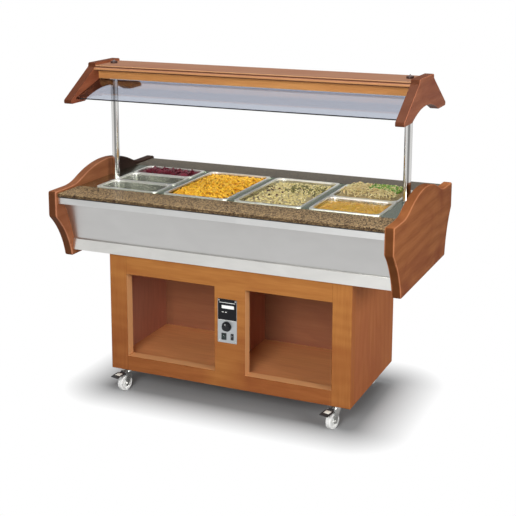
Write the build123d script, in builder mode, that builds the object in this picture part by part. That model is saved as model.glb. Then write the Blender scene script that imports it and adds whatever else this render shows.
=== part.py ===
from build123d import *
import math
import os

# Heated buffet counter, in millimetres.
# X runs along the counter, Y goes from the front to the back, Z is up.
# The origin is on the floor under the middle of the counter.

# Fits shared by several pieces
board_gap = 0.3  # play between loose parts that never rub
shaft_play = 0.08  # radial play of a shaft in its bore

# Deck heights
deck_z = 975.0  # top of the granite
belly_z = 679.0  # underside of the steel hull

# End panels
end_reach = 15.0  # front and rear edge beyond the granite
end_thick = 44.0
ear_z = 986.0  # level top of the ears
ear_end = 350.0  # where the ear starts to dip towards the crown, from the middle
crown_z = 1060.0
crown_radius = 600.0
end_bottom_z = 650.0
end_foot_front = 9.0  # lower corner beyond the hull's lower rail
end_foot_rear = 37.0
end_lip_z = 866.0  # top of the hollow sweep under the edge
end_hollow = 20.0  # depth of the sweep below a straight line
end_lip_round = 22.0
end_corner = 10.0
end_round = 8.0  # rounded edge of both faces
wood_edge = 3.0  # eased arris of the canopy's wood

# Granite strips, bedded on a black seal
granite_thick = 15.0
granite_width = 183.6
granite_edge = 4.0
flange_gap = 0.4
seal_thick = 5.0
seal_recess = 3.0  # seal behind the face of the rail

# Gastronorm pans
rim_length = 530.0
rim_width = 325.0
rim_third = 176.0
rim_half = 265.0
rim_lip = 4.0  # height of the turned-down rim
rim_flat = 10.0
rim_corner = 20.0
pan_sheet = 1.2
pan_depth = 100.0
pan_draft = 4.0
pan_body_corner = 32.0
pan_floor_radius = 14.0
pan_nest_gap = 1.0  # between the rims of pans in one bay
bay_strip = 32.0  # steel seen between the rims of two bays
pan_bays = 4

# Water bath
flange_drop = 1.0  # flange surface below the granite surface
flange_side = 20.0  # flange between the bath's opening and the granite
flange_end = 92.0  # flange between the bath's opening and the end panel
tank_sheet = 1.5
tank_gap = 2.0  # between a pan's body and the opening
tank_depth = 185.0
tank_corner = 30.0
insulation_thick = 18.0
insulation_drop = 54.0  # the insulation starts this far below the flange
bar_height = 16.0
drain_bore = 20.0
drain_wall = 2.0
drain_x = -300.0
drain_inset = 21.0  # drain's middle from the bath's rear side
drain_z = 560.0
element_rod = 8.5
element_lift = 14.0  # centre of the rod above the tank's floor
element_runs = 4
element_pitch = 110.0
element_margin = 100.0  # straight rods end this far inside the bath

# Steel hull
rail_sheet = 1.5
nose_inset = 4.0  # face of the bright rail behind the granite's
nose_height = 28.0
nose_return = 60.0
nose_ledge = 42.0  # underside of the rail in front of the fascia
fascia_bulge = 6.5
fascia_lip = 15.0
fascia_foot_inset = 7.0  # foot of the fascia behind the lower rail's face
hull_reach = 25.0  # lower rail beyond the base's front
lower_height = 53.0
lower_return = 30.0
deck_rail_width = 38.0
deck_rail_height = 30.0

# Base cabinet
base_length = 1200.0
base_depth = 630.0
base_z = 105.0
frame_thick = 52.0
side_thick = 22.0
stile = 89.0
post_left = -55.0  # control post between the niches
post_right = 97.0
niche_sill_z = 177.0
niche_head_z = 582.0
niche_floor_z = 160.0
niche_floor_thick = 18.0
bottom_thick = 25.0
top_thick = 22.0
partition_thick = 22.0
partition_face = -23.0  # right-hand face of the partition
niche_back_y = 205.0
niche_back_thick = 8.0
back_thick = 18.0
back_inset = 4.0
wood_arris = 2.0

# Cable gland in the back panel
gland_bore = 10.0
gland_body = 22.0
gland_flange = 30.0
gland_reach = 16.0
gland_x = 420.0
gland_z = 240.0

# Control panel
plate_width = 95.0
plate_height = 207.0
plate_thick = 2.0
plate_x = 10.5
plate_bottom_z = 323.0
plate_corner = 3.0
label_height = 105.0
label_thick = 0.6
pocket_margin = 8.0
pocket_depth = 44.0
screw_head = 7.0
screw_inset = 7.0
knob_x = 8.0
knob_z = 401.0
knob_diameter = 46.0
knob_depth = 18.0
knob_gap = 1.0
knob_flutes = 16
spindle = 6.0
thermostat_side = 42.0
thermostat_depth = 34.0
main_switch = (24.0, 32.0)
main_switch_place = (-6.0, 352.0)
lamp_switch = (14.0, 30.0)
lamp_switch_place = (35.0, 354.0)
bezel_thick = 2.0
bezel_wall = 2.5
switch_depth = 26.0
rocker_tilt = 8.0
rocker_play = 0.4

# Castors
castor_height = base_z
castor_inset_x = 74.0  # kingpin from the end of the base
castor_inset_y = 33.0  # kingpin from the front and the rear of the base
castor_trail = 30.0
castor_heading = 255.0  # trailing direction, degrees from +X
wheel_diameter = 75.0
wheel_width = 28.0
tread_width = 25.0
axle = 8.0
wheel_hub = 24.0
wheel_web = 12.4
wheel_rim_inner = 54.0
tread_round = 4.0
fork_gap = 30.0
fork_sheet = 2.5
fork_width = 32.0
fork_eye = 22.4  # rounded end of each leg
axle_nut = 13.6
castor_plate = (56.0, 50.0)
castor_plate_thick = 2.5
race_diameter = 40.0
race_height = 4.0
kingpin = 10.0
kingpin_head = 20.0
castor_bolt = 6.0
castor_bolt_pitch = (44.0, 36.0)
castor_bolt_head = 10.8
castor_bolt_rise = 3.6
pedal_width = 30.0
pedal_sheet = 2.5
pedal_pin = 5.0
pedal_pad_width = 44.0
pedal_pad_start = (52.0, 2.0)  # inner end of the pad, out from the kingpin and below the pin
pedal_pad_bend = (84.0, 6.0)
pedal_tip = (100.0, 10.0)

# Canopy
canopy_inset = 8.0  # end bracket's inner face inside the end panel's
bracket_thick = 40.0
bracket_top_z = 1544.0
bracket_flat = 115.0
bracket_drop = 18.0
bracket_lean = 2.0  # shoulder's foot outside its top
bracket_slope = 31.5
bracket_out = 336.0
lobe_z = 1374.0
lobe_inner = 215.0
arch_z = 1418.0
lobe_round = 9.0
board_depth = 256.0
board_z = 1507.0
moulding_foot = (7.0, 4.0)  # lower step, in and up
moulding_band = 10.0
moulding_cove = 7.0
moulding_ledge = (4.0, 4.0)  # steps on both sides of the cove, and the upper step's rise
moulding_round = 3.0
fascia_board_y = 85.0
fascia_board_thick = 18.0
fascia_board_height = 41.0
glass_thick = 6.0
glass_slope = 16.8
glass_foot_y = 290.0
glass_foot_z = 1396.0
glass_head_y = 72.0
groove_depth = 5.0
groove_play = 0.3
post_inset = 44.0  # post's middle inside the end panel
post_diameter = 35.0
post_wall = 2.0
post_stud = 10.0
cap_diameter = 34.0
cap_height = 20.0
socket_wall = 4.0
socket_height = 45.0
lamp_length = 1149.0
lamp_diameter = 16.0
lamp_drop = 30.0  # tube centre below the board
batten_width = 60.0
batten_height = 16.0
holder_length = 14.0
holder_width = 22.4

# Worked out from the sizes above
flange_z = deck_z - flange_drop
pan_pitch = rim_width + bay_strip
bar_width = bay_strip + 2 * (rim_flat - tank_gap)
cross_bar_width = 2 * (rim_flat - tank_gap) + pan_nest_gap
tank_x = (pan_bays - 1) * pan_pitch / 2 + rim_width / 2 - rim_flat + tank_gap
tank_y = rim_length / 2 - rim_flat + tank_gap
tank_floor_z = flange_z - tank_depth
drain_y = tank_y - drain_inset
element_length = 2 * (tank_x - element_margin)
half_bay = tank_x + flange_end
bay_length = 2 * half_bay
flange_half = tank_y + flange_side
granite_out = flange_half + flange_gap + granite_width
granite_under = deck_z - granite_thick
nose_top_z = granite_under - seal_thick
nose_z = nose_top_z - nose_height
nose_face = granite_out - nose_inset
fascia_top_y = nose_face - nose_ledge
lower_face = base_depth / 2 + hull_reach
fascia_foot_y = lower_face - fascia_foot_inset
lower_top_z = belly_z + lower_height
base_top_z = belly_z
base_front = base_depth / 2
frame_back = base_front - frame_thick
frame_height = base_top_z - base_z
back_face = base_front - back_inset
plate_face = base_front + plate_thick
plate_top_z = plate_bottom_z + plate_height
board_thick = moulding_foot[1] + moulding_band + moulding_cove + moulding_ledge[1]
board_top = board_z + board_thick
canopy_end_x = half_bay - canopy_inset
post_x = half_bay - post_inset
castor_x = base_length / 2 - castor_inset_x
castor_y = base_depth / 2 - castor_inset_y
wheel_radius = wheel_diameter / 2
third_pitch = rim_third + pan_nest_gap
half_pitch = rim_half + pan_nest_gap
bay_x = [(i - (pan_bays - 1) / 2) * pan_pitch for i in range(pan_bays)]
bar_x = [(bay_x[i] + bay_x[i + 1]) / 2 for i in range(pan_bays - 1)]
castor_places = {
    "front_left": (-castor_x, -castor_y),
    "front_right": (castor_x, -castor_y),
    "rear_left": (-castor_x, castor_y),
    "rear_right": (castor_x, castor_y),
}

os.makedirs("parts", exist_ok=True)


def save(piece, name):
    """Label one finished piece and write it under its own name."""
    piece.label = name
    export_step(piece, f"parts/{name}.step")


def side_plane(x):
    """A plane across the counter at x, with its own X along +Y and its own Y up."""
    return Plane(origin=(x, 0, 0), x_dir=(0, 1, 0), z_dir=(1, 0, 0))


def front_plane(y):
    """An upright plane at y seen from the front, so its normal points to -Y."""
    return Plane(origin=(0, y, 0), x_dir=(1, 0, 0), z_dir=(0, -1, 0))


def board(x_span, y_span, z_span):
    """A plain board between three pairs of faces."""
    lengths = [span[1] - span[0] for span in (x_span, y_span, z_span)]
    with BuildPart() as plank:
        with Locations([((x_span[0] + x_span[1]) / 2, (y_span[0] + y_span[1]) / 2, z_span[0])]):
            Box(*lengths, align=(Align.CENTER, Align.CENTER, Align.MIN))
    return plank.part


def both_sides(piece):
    """The piece with its mirror image behind the middle of the counter."""
    return Compound(children=[piece, mirror(piece, about=Plane.XZ)])


# End panels: a wooden side with level ears, a raised crown and a hollow sweep below
def hollow_sweep(foot, lip):
    """An arc from the foot to the lip, bent towards the middle of the panel."""
    length = math.dist(foot, lip)
    inward = -1 if lip[0] > 0 else 1
    middle = (
        (foot[0] + lip[0]) / 2 + inward * end_hollow * (lip[1] - foot[1]) / length,
        (foot[1] + lip[1]) / 2 + end_hollow * abs(lip[0] - foot[0]) / length,
    )
    ThreePointArc(foot, middle, lip)


def end_panel(inner_x):
    centre_z = crown_z - crown_radius
    ear_rise = ear_z - centre_z
    hollow_radius = (ear_end**2 + ear_rise**2 - crown_radius**2) / (2 * (crown_radius - ear_rise))
    share = crown_radius / (crown_radius + hollow_radius)
    joint = (ear_end * share, centre_z + (ear_rise + hollow_radius) * share)
    half = granite_out + end_reach
    front_foot = (-lower_face - end_foot_front, end_bottom_z)
    rear_foot = (lower_face + end_foot_rear, end_bottom_z)
    with BuildPart() as panel:
        with BuildSketch(side_plane(inner_x)) as outline:
            with BuildLine():
                Line(front_foot, rear_foot)
                hollow_sweep(rear_foot, (half, end_lip_z))
                Polyline((half, end_lip_z), (half, ear_z), (ear_end, ear_z))
                RadiusArc((ear_end, ear_z), joint, hollow_radius)
                ThreePointArc(joint, (0, crown_z), (-joint[0], joint[1]))
                RadiusArc((-joint[0], joint[1]), (-ear_end, ear_z), hollow_radius)
                Polyline((-ear_end, ear_z), (-half, ear_z), (-half, end_lip_z))
                hollow_sweep(front_foot, (-half, end_lip_z))
            make_face()
            edge_points = [v for v in outline.vertices() if abs(v.X) > half - 1]
            fillet([v for v in edge_points if v.Y < ear_z - 1], end_lip_round)
            feet = [v for v in outline.vertices() if v.Y < end_bottom_z + 1]
            ears = [v for v in outline.vertices() if abs(v.X) > half - 1 and v.Y > ear_z - 1]
            fillet(feet + ears, end_corner)
        extrude(amount=end_thick if inner_x > 0 else -end_thick)
        rims = panel.faces().filter_by(Axis.X)
        fillet(rims.edges(), end_round)
    return panel.part


save(end_panel(half_bay), "end_panel_right")
save(end_panel(-half_bay), "end_panel_left")


# Granite strips, front and rear, with a rounded outer edge
with BuildPart() as granite:
    with BuildSketch(Plane.XY.offset(granite_under)):
        with Locations((0, -(granite_out + flange_half + flange_gap) / 2)):
            Rectangle(bay_length, granite_out - flange_half - flange_gap)
    extrude(amount=granite_thick)
    nose = granite.faces().sort_by(Axis.Y)[0].edges().filter_by(Axis.X)
    fillet(nose, granite_edge)
save(both_sides(granite.part), "granite_strips")

# Black seal on which each strip is bedded, a little behind the rail's face
with BuildPart() as seal:
    with BuildSketch(Plane.XY.offset(granite_under)):
        with Locations((0, -nose_face + seal_recess)):
            Rectangle(bay_length, nose_return - seal_recess, align=(Align.CENTER, Align.MIN))
    extrude(amount=-seal_thick)
save(both_sides(seal.part), "granite_seals")


# Water bath: one pressed tank with its flange, the flange's long edges turned down
with BuildPart() as tank:
    with BuildSketch(Plane.XY.offset(flange_z)):
        RectangleRounded(2 * (tank_x + tank_sheet), 2 * (tank_y + tank_sheet), tank_corner)
    extrude(amount=-tank_depth - tank_sheet)
    with BuildSketch(Plane.XY.offset(flange_z)):
        Rectangle(bay_length, 2 * flange_half)
    extrude(amount=-tank_sheet)
    with BuildSketch(Plane.XY.offset(flange_z)):
        with Locations((0, flange_half - tank_sheet / 2), (0, tank_sheet / 2 - flange_half)):
            Rectangle(bay_length, tank_sheet)
    extrude(amount=granite_under - flange_z)
    with BuildSketch(Plane.XY.offset(flange_z)):
        RectangleRounded(2 * tank_x, 2 * tank_y, tank_corner - tank_sheet)
    extrude(amount=-tank_depth, mode=Mode.SUBTRACT)
    with BuildSketch(Plane.XY.offset(flange_z)):
        with Locations((-post_x, 0), (post_x, 0)):
            Circle(post_diameter / 2 + board_gap)
    extrude(amount=-tank_sheet, mode=Mode.SUBTRACT)
    with BuildSketch(Plane.XY.offset(tank_floor_z)):
        with Locations((drain_x, drain_y)):
            Circle(drain_bore / 2)
    extrude(amount=-tank_sheet, mode=Mode.SUBTRACT)
save(tank.part, "well_tank")


# Insulation round the tank, open above
with BuildPart() as insulation:
    with BuildSketch(Plane.XY.offset(flange_z - insulation_drop)):
        RectangleRounded(
            2 * (tank_x + tank_sheet + insulation_thick),
            2 * (tank_y + tank_sheet + insulation_thick),
            tank_corner + insulation_thick,
        )
    extrude(amount=tank_floor_z - tank_sheet - insulation_thick - flange_z + insulation_drop)
    with BuildSketch(Plane.XY.offset(flange_z - insulation_drop)):
        RectangleRounded(
            2 * (tank_x + tank_sheet) + board_gap, 2 * (tank_y + tank_sheet) + board_gap, tank_corner
        )
    extrude(amount=tank_floor_z - tank_sheet - flange_z + insulation_drop, mode=Mode.SUBTRACT)
    with BuildSketch(Plane.XY.offset(tank_floor_z)):
        with Locations((drain_x, drain_y)):
            Circle(drain_bore / 2 + drain_wall + board_gap)
    extrude(amount=-2 * insulation_thick, mode=Mode.SUBTRACT)
save(insulation.part, "well_insulation")


# Drain pipe from the tank's floor into the service space, with its cap
with BuildPart() as drain:
    with BuildSketch(Plane.XY.offset(drain_z)):
        with Locations((drain_x, drain_y)):
            Circle(drain_bore / 2 + drain_wall)
            Circle(drain_bore / 2, mode=Mode.SUBTRACT)
    extrude(amount=tank_floor_z - tank_sheet - drain_z)
    with BuildSketch(Plane.XY.offset(drain_z)):
        with Locations((drain_x, drain_y)):
            RegularPolygon(drain_bore / 2 + 3 * drain_wall, 6)
    extrude(amount=-3 * drain_wall)
save(drain.part, "drain_pipe")


# Heating element: one rod in long hairpins on the tank's floor
with BuildPart() as element:
    rod_z = tank_floor_z + element_lift
    turn = element_pitch / 2
    first_y = -(element_runs - 1) * element_pitch / 2
    with BuildLine() as route:
        for run in range(element_runs):
            row_y = first_y + run * element_pitch
            way = 1 if run % 2 == 0 else -1
            Line((-way * element_length / 2, row_y, rod_z), (way * element_length / 2, row_y, rod_z))
            if run < element_runs - 1:
                ThreePointArc(
                    (way * element_length / 2, row_y, rod_z),
                    (way * (element_length / 2 + turn), row_y + turn, rod_z),
                    (way * element_length / 2, row_y + element_pitch, rod_z),
                )
    with BuildSketch(Plane(origin=(-element_length / 2, first_y, rod_z), z_dir=(1, 0, 0))):
        Circle(element_rod / 2)
    sweep(path=route.wire())
    saddle = element_lift + element_rod / 2
    with BuildSketch(Plane.XY.offset(tank_floor_z)):
        with GridLocations(element_length / 2, element_pitch, 3, element_runs):
            Rectangle(6 * tank_sheet, 2 * element_rod)
    extrude(amount=saddle + tank_sheet)
save(element.part, "heating_element")


# Divider bars between the pan bays: channels that hook over the flange
with BuildPart() as divider_bars:
    for bay_edge in bar_x:
        with BuildSketch(Plane.XY.offset(flange_z)):
            with Locations((bay_edge, 0)):
                Rectangle(bar_width, 2 * (tank_y - board_gap))
        extrude(amount=-bar_height)
        with BuildSketch(Plane.XY.offset(flange_z - tank_sheet)):
            with Locations((bay_edge, 0)):
                Rectangle(bar_width - 2 * tank_sheet, 2 * tank_y)
        extrude(amount=-bar_height, mode=Mode.SUBTRACT)
        with BuildSketch(Plane.XY.offset(flange_z)):
            with Locations((bay_edge, tank_y), (bay_edge, -tank_y)):
                Rectangle(pan_pitch - rim_width - tank_gap, 2 * rim_flat)
        extrude(amount=tank_sheet)

# Short bars under the rims where two pans meet inside one bay
def cross_bar(centre_x, centre_y, left, right):
    with BuildPart() as bar:
        with BuildSketch(Plane.XY.offset(flange_z)):
            with Locations(((left + right) / 2, centre_y)):
                Rectangle(right - left, cross_bar_width)
        extrude(amount=-bar_height)
        with BuildSketch(Plane.XY.offset(flange_z - tank_sheet)):
            with Locations(((left + right) / 2, centre_y)):
                Rectangle(right - left, cross_bar_width - 2 * tank_sheet)
        extrude(amount=-bar_height, mode=Mode.SUBTRACT)
    return bar.part


cross_bars = [
    cross_bar(bay_x[0], side * third_pitch / 2, -tank_x, bar_x[0] - bar_width / 2) for side in (-1, 1)
]
cross_bars.append(cross_bar(bay_x[-1], 0, bar_x[-1] + bar_width / 2, tank_x))
save(Compound(children=[divider_bars.part, *cross_bars]), "divider_bars")


# Food pans: drafted walls, rounded floor and a rim turned down on to the flange
def pan_bowl(length_y, place, sheet):
    """The drafted bowl of a pan as a solid, smaller all round by the given sheet."""
    width = rim_width - 2 * rim_flat - 2 * sheet
    length = length_y - 2 * rim_flat - 2 * sheet
    with BuildPart() as bowl:
        with BuildSketch(Plane.XY.offset(flange_z + rim_lip) * place):
            RectangleRounded(width, length, pan_body_corner - sheet)
        extrude(amount=sheet - pan_depth, taper=pan_draft)
        fillet(bowl.faces().sort_by(Axis.Z)[0].edges(), pan_floor_radius - sheet)
    return bowl.part


def food_pan(length_y, centre):
    rim_z = flange_z + rim_lip
    body = (rim_width - 2 * rim_flat, length_y - 2 * rim_flat)
    place = Location((centre[0], centre[1], 0))
    outside = pan_bowl(length_y, place, 0)
    inside = pan_bowl(length_y, place, pan_sheet)
    with BuildPart() as shell:
        add(outside)
        add(inside, mode=Mode.SUBTRACT)
        with BuildSketch(Plane.XY.offset(rim_z) * place):
            RectangleRounded(rim_width, length_y, rim_corner)
            RectangleRounded(body[0] - pan_sheet, body[1] - pan_sheet, pan_body_corner, mode=Mode.SUBTRACT)
        extrude(amount=-pan_sheet)
        with BuildSketch(Plane.XY.offset(flange_z) * place):
            RectangleRounded(rim_width, length_y, rim_corner)
            RectangleRounded(
                rim_width - 2 * pan_sheet, length_y - 2 * pan_sheet, rim_corner - pan_sheet, mode=Mode.SUBTRACT
            )
        extrude(amount=rim_lip)
    return shell.part


for count, row in (("front", -1), ("middle", 0), ("rear", 1)):
    save(food_pan(rim_third, (bay_x[0], row * third_pitch)), f"third_pan_{count}")
save(food_pan(rim_length, (bay_x[1], 0)), "full_pan_left")
save(food_pan(rim_length, (bay_x[2], 0)), "full_pan_right")
for count, row in (("front", -1), ("rear", 1)):
    save(food_pan(rim_half, (bay_x[3], row * half_pitch / 2)), f"half_pan_{count}")


# Steel hull: folded rails and a bowed fascia panel, all running between the end panels
def folded_sheet(points_of_line):
    """A sheet of constant thickness along an open line in the counter's cross-section."""
    with BuildPart() as sheet:
        with BuildSketch(side_plane(-half_bay)):
            with BuildLine():
                points_of_line()
                offset(amount=rail_sheet, side=Side.LEFT)
            make_face()
        extrude(amount=bay_length)
    return sheet.part


def nose_line():
    Polyline(
        (-nose_face + nose_return, nose_top_z),
        (-nose_face, nose_top_z),
        (-nose_face, nose_z),
        (-fascia_top_y, nose_z),
    )


def fascia_line():
    Line((-fascia_top_y + fascia_lip, nose_z), (-fascia_top_y, nose_z))
    SagittaArc((-fascia_top_y, nose_z), (-fascia_foot_y, lower_top_z), fascia_bulge)
    Line((-fascia_foot_y, lower_top_z), (-fascia_foot_y + fascia_lip, lower_top_z))


def lower_line():
    Polyline(
        (-fascia_foot_y + fascia_lip, lower_top_z),
        (-lower_face, lower_top_z),
        (-lower_face, belly_z),
        (-lower_face + lower_return, belly_z),
    )


nose_rail = folded_sheet(nose_line)
fascia_panel = folded_sheet(fascia_line)
lower_rail = folded_sheet(lower_line)
save(both_sides(nose_rail), "nose_rails")
save(both_sides(fascia_panel), "fascia_panels")
save(both_sides(lower_rail), "lower_rails")

# Box rails that carry the inner edges of the granite and the tank's turned-down edges
with BuildPart() as deck_rail:
    rail_middle = tank_y + tank_sheet + board_gap + deck_rail_width / 2
    with BuildSketch(side_plane(-half_bay)):
        with Locations((-rail_middle, granite_under)):
            Rectangle(deck_rail_width, deck_rail_height, align=(Align.CENTER, Align.MAX))
        with Locations((-rail_middle, granite_under - 2 * rail_sheet)):
            Rectangle(
                deck_rail_width - 4 * rail_sheet,
                deck_rail_height - 4 * rail_sheet,
                align=(Align.CENTER, Align.MAX),
                mode=Mode.SUBTRACT,
            )
    extrude(amount=bay_length)
save(both_sides(deck_rail.part), "deck_rails")

# Belly pan that closes the hull and carries the post sockets
with BuildPart() as belly_pan:
    with BuildSketch(Plane.XY.offset(belly_z + rail_sheet)):
        Rectangle(bay_length, 2 * (lower_face - rail_sheet - board_gap))
        with Locations((drain_x, drain_y)):
            Circle(drain_bore / 2 + drain_wall + board_gap, mode=Mode.SUBTRACT)
    extrude(amount=rail_sheet)
save(belly_pan.part, "belly_pan")


# Canopy posts: chromed tubes from the belly pan to the canopy's board
socket_z = belly_z + 2 * rail_sheet
with BuildPart() as post_sockets:
    with BuildSketch(Plane.XY.offset(socket_z)):
        with Locations((-post_x, 0), (post_x, 0)):
            Circle(post_diameter / 2 + socket_wall)
    extrude(amount=socket_height)
    with BuildSketch(Plane.XY.offset(socket_z + socket_wall)):
        with Locations((-post_x, 0), (post_x, 0)):
            Circle(post_diameter / 2 + shaft_play)
    extrude(amount=socket_height, mode=Mode.SUBTRACT)
save(post_sockets.part, "post_sockets")

with BuildPart() as canopy_posts:
    for side in (-post_x, post_x):
        with BuildSketch(Plane.XY.offset(socket_z + socket_wall)):
            with Locations((side, 0)):
                Circle(post_diameter / 2)
                Circle(post_diameter / 2 - post_wall, mode=Mode.SUBTRACT)
        extrude(amount=board_z - socket_z - socket_wall)
        with BuildSketch(Plane.XY.offset(board_z)):
            with Locations((side, 0)):
                Circle(post_diameter / 2)
        extrude(amount=-3 * post_wall)
        with BuildSketch(Plane.XY.offset(board_z)):
            with Locations((side, 0)):
                Circle(post_stud / 2)
        extrude(amount=board_thick + cap_height / 2)
save(canopy_posts.part, "canopy_posts")

dome_radius = ((cap_diameter / 2) ** 2 + (cap_height / 2) ** 2) / cap_height
with BuildPart() as cap_nuts:
    with BuildSketch(Plane(origin=(post_x, 0, board_top), x_dir=(1, 0, 0), z_dir=(0, -1, 0))) as cap_half:
        with BuildLine():
            Polyline(
                (post_stud / 2, cap_height / 2),
                (post_stud / 2, 0),
                (cap_diameter / 2, 0),
                (cap_diameter / 2, cap_height / 2),
            )
            Line((post_stud / 2, cap_height / 2), (0, cap_height / 2))
            Line((0, cap_height / 2), (0, cap_height))
            RadiusArc((0, cap_height), (cap_diameter / 2, cap_height / 2), -dome_radius)
        make_face()
    revolve(axis=Axis((post_x, 0, 0), (0, 0, 1)))
    mirror(about=Plane.YZ)
save(cap_nuts.part, "post_cap_nuts")


# Canopy end brackets: roof slope outside, arch below, with grooves for the two panes
def pane_frame(side):
    """The lower and upper ends of one pane's middle line."""
    run = glass_foot_y - glass_head_y
    head_z = glass_foot_z + run * math.tan(math.radians(glass_slope))
    return (side * glass_foot_y, glass_foot_z), (side * glass_head_y, head_z)


def pane_section(side, extra):
    """The pane's section drawn on the active sketch, grown all round by extra."""
    foot, head = pane_frame(side)
    length = math.dist(foot, head) + 2 * extra
    with Locations(((foot[0] + head[0]) / 2, (foot[1] + head[1]) / 2)):
        Rectangle(length, glass_thick + 2 * extra, rotation=-side * glass_slope)


def canopy_end(inner_x):
    outward = 1 if inner_x > 0 else -1
    shoulder = bracket_flat + bracket_lean
    shoulder_z = bracket_top_z - bracket_drop
    tip_z = shoulder_z - (bracket_out - shoulder) * math.tan(math.radians(bracket_slope))
    with BuildPart() as bracket:
        with BuildSketch(side_plane(inner_x)) as outline:
            with BuildLine():
                ThreePointArc((lobe_inner, lobe_z), (0, arch_z), (-lobe_inner, lobe_z))
                Polyline(
                    (-lobe_inner, lobe_z),
                    (-bracket_out, lobe_z),
                    (-bracket_out, tip_z),
                    (-shoulder, shoulder_z),
                    (-bracket_flat, bracket_top_z),
                    (bracket_flat, bracket_top_z),
                    (shoulder, shoulder_z),
                    (bracket_out, tip_z),
                    (bracket_out, lobe_z),
                    (lobe_inner, lobe_z),
                )
            make_face()
            fillet(outline.vertices(), lobe_round)
        extrude(amount=outward * bracket_thick)
        outer = bracket.faces().filter_by(Axis.X).sort_by(Axis.X)[-1 if outward > 0 else 0]
        fillet(outer.edges(), wood_edge)
        with BuildSketch(side_plane(inner_x)):
            for side in (-1, 1):
                pane_section(side, groove_play)
        extrude(amount=outward * groove_depth, mode=Mode.SUBTRACT)
    return bracket.part


save(canopy_end(canopy_end_x), "canopy_end_right")
save(canopy_end(-canopy_end_x), "canopy_end_left")

reach = canopy_end_x + groove_depth - groove_play
with BuildPart() as glass_panes:
    with BuildSketch(side_plane(-reach)):
        for side in (-1, 1):
            pane_section(side, 0)
    extrude(amount=2 * reach)
save(glass_panes.part, "glass_panes")


# Top board with a stepped and coved moulding along its front and rear edges
with BuildPart() as top_board:
    with BuildSketch(side_plane(-canopy_end_x)) as board_outline:
        half_board = board_depth / 2
        band_z = board_z + moulding_foot[1]
        cove_z = band_z + moulding_band
        cove_y = half_board - moulding_ledge[0]
        ledge_z = cove_z + moulding_cove
        top_y = cove_y - moulding_cove - moulding_ledge[0]
        with BuildLine():
            Polyline(
                (0, board_z),
                (half_board - moulding_foot[0], board_z),
                (half_board - moulding_foot[0], band_z),
                (half_board, band_z),
                (half_board, cove_z),
                (cove_y, cove_z),
            )
            RadiusArc((cove_y, cove_z), (cove_y - moulding_cove, ledge_z), moulding_cove)
            Polyline(
                (cove_y - moulding_cove, ledge_z),
                (top_y, ledge_z),
                (top_y, board_top),
                (0, board_top),
                (0, board_z),
            )
        make_face()
        mirror(about=Plane.YZ)
        fillet([v for v in board_outline.vertices() if abs(v.X) > half_board - 1], moulding_round)
    extrude(amount=2 * canopy_end_x)
    with BuildSketch(Plane.XY.offset(board_top)):
        with Locations((-post_x, 0), (post_x, 0)):
            Circle(post_stud / 2 + shaft_play)
    extrude(amount=-board_thick, mode=Mode.SUBTRACT)
save(top_board.part, "canopy_top_board")

with BuildPart() as canopy_fascia:
    with BuildSketch(side_plane(-canopy_end_x)) as fascia_outline:
        with Locations((-fascia_board_y, board_z)):
            Rectangle(fascia_board_thick, fascia_board_height, align=(Align.MIN, Align.MAX))
        lower_front = fascia_outline.vertices().sort_by(Axis.Y)[0:2].sort_by(Axis.Z)[0]
        fillet(lower_front, wood_edge)
    extrude(amount=2 * canopy_end_x)
save(both_sides(canopy_fascia.part), "canopy_fascias")

# Lamp under the board: batten, two holders and the tube
batten_length = lamp_length + 4 * holder_length
with BuildPart() as lamp_batten:
    with BuildSketch(side_plane(-batten_length / 2)):
        with Locations((0, board_z)):
            Trapezoid(batten_width, batten_height, 60, align=(Align.CENTER, Align.MIN), rotation=180)
    extrude(amount=batten_length)
    for end in (-1, 1):
        holder_x = end * (lamp_length + holder_length) / 2 - holder_length / 2
        with BuildSketch(side_plane(holder_x)):
            with Locations((0, board_z)):
                Rectangle(holder_width, lamp_drop + lamp_diameter / 2, align=(Align.CENTER, Align.MAX))
        extrude(amount=holder_length)
save(lamp_batten.part, "lamp_batten")

with BuildPart() as lamp_tube:
    with BuildSketch(side_plane(-lamp_length / 2)):
        with Locations((0, board_z - lamp_drop)):
            Circle(lamp_diameter / 2)
    extrude(amount=lamp_length)
save(lamp_tube.part, "lamp_tube")


# Base cabinet: face frame with two niche openings and the control pocket
with BuildPart() as front_frame:
    with BuildSketch(front_plane(-frame_back)):
        with Locations((0, base_z)):
            Rectangle(base_length, frame_height, align=(Align.CENTER, Align.MIN))
    extrude(amount=frame_thick)
    niche_spans = ((-base_length / 2 + stile, post_left), (post_right, base_length / 2 - stile))
    with BuildSketch(front_plane(-frame_back)):
        for left, right in niche_spans:
            with Locations(((left + right) / 2, niche_sill_z)):
                Rectangle(right - left, niche_head_z - niche_sill_z, align=(Align.CENTER, Align.MIN))
    extrude(amount=frame_thick, mode=Mode.SUBTRACT)
    with BuildSketch(front_plane(-base_front)):
        with Locations((plate_x, plate_bottom_z + pocket_margin)):
            Rectangle(
                plate_width - 2 * pocket_margin,
                plate_height - 2 * pocket_margin,
                align=(Align.CENTER, Align.MIN),
            )
    extrude(amount=-pocket_depth, mode=Mode.SUBTRACT)
    face = front_frame.faces().filter_by(Axis.Y).sort_by(Axis.Y)[0]
    niche_rims = face.inner_wires().sort_by(lambda wire: wire.length)[-2:]
    chamfer(face.outer_wire().edges() + niche_rims.edges(), wood_arris)
save(front_frame.part, "base_front_frame")

side_inner = base_length / 2 - side_thick
right_side = board((side_inner, base_length / 2), (-frame_back, base_front), (base_z, base_top_z))
save(Compound(children=[right_side, mirror(right_side, about=Plane.YZ)]), "base_sides")

back_span = (-side_inner, side_inner)
save(
    board(back_span, (-frame_back, back_face - back_thick), (base_z, base_z + bottom_thick)),
    "base_bottom",
)

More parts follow.
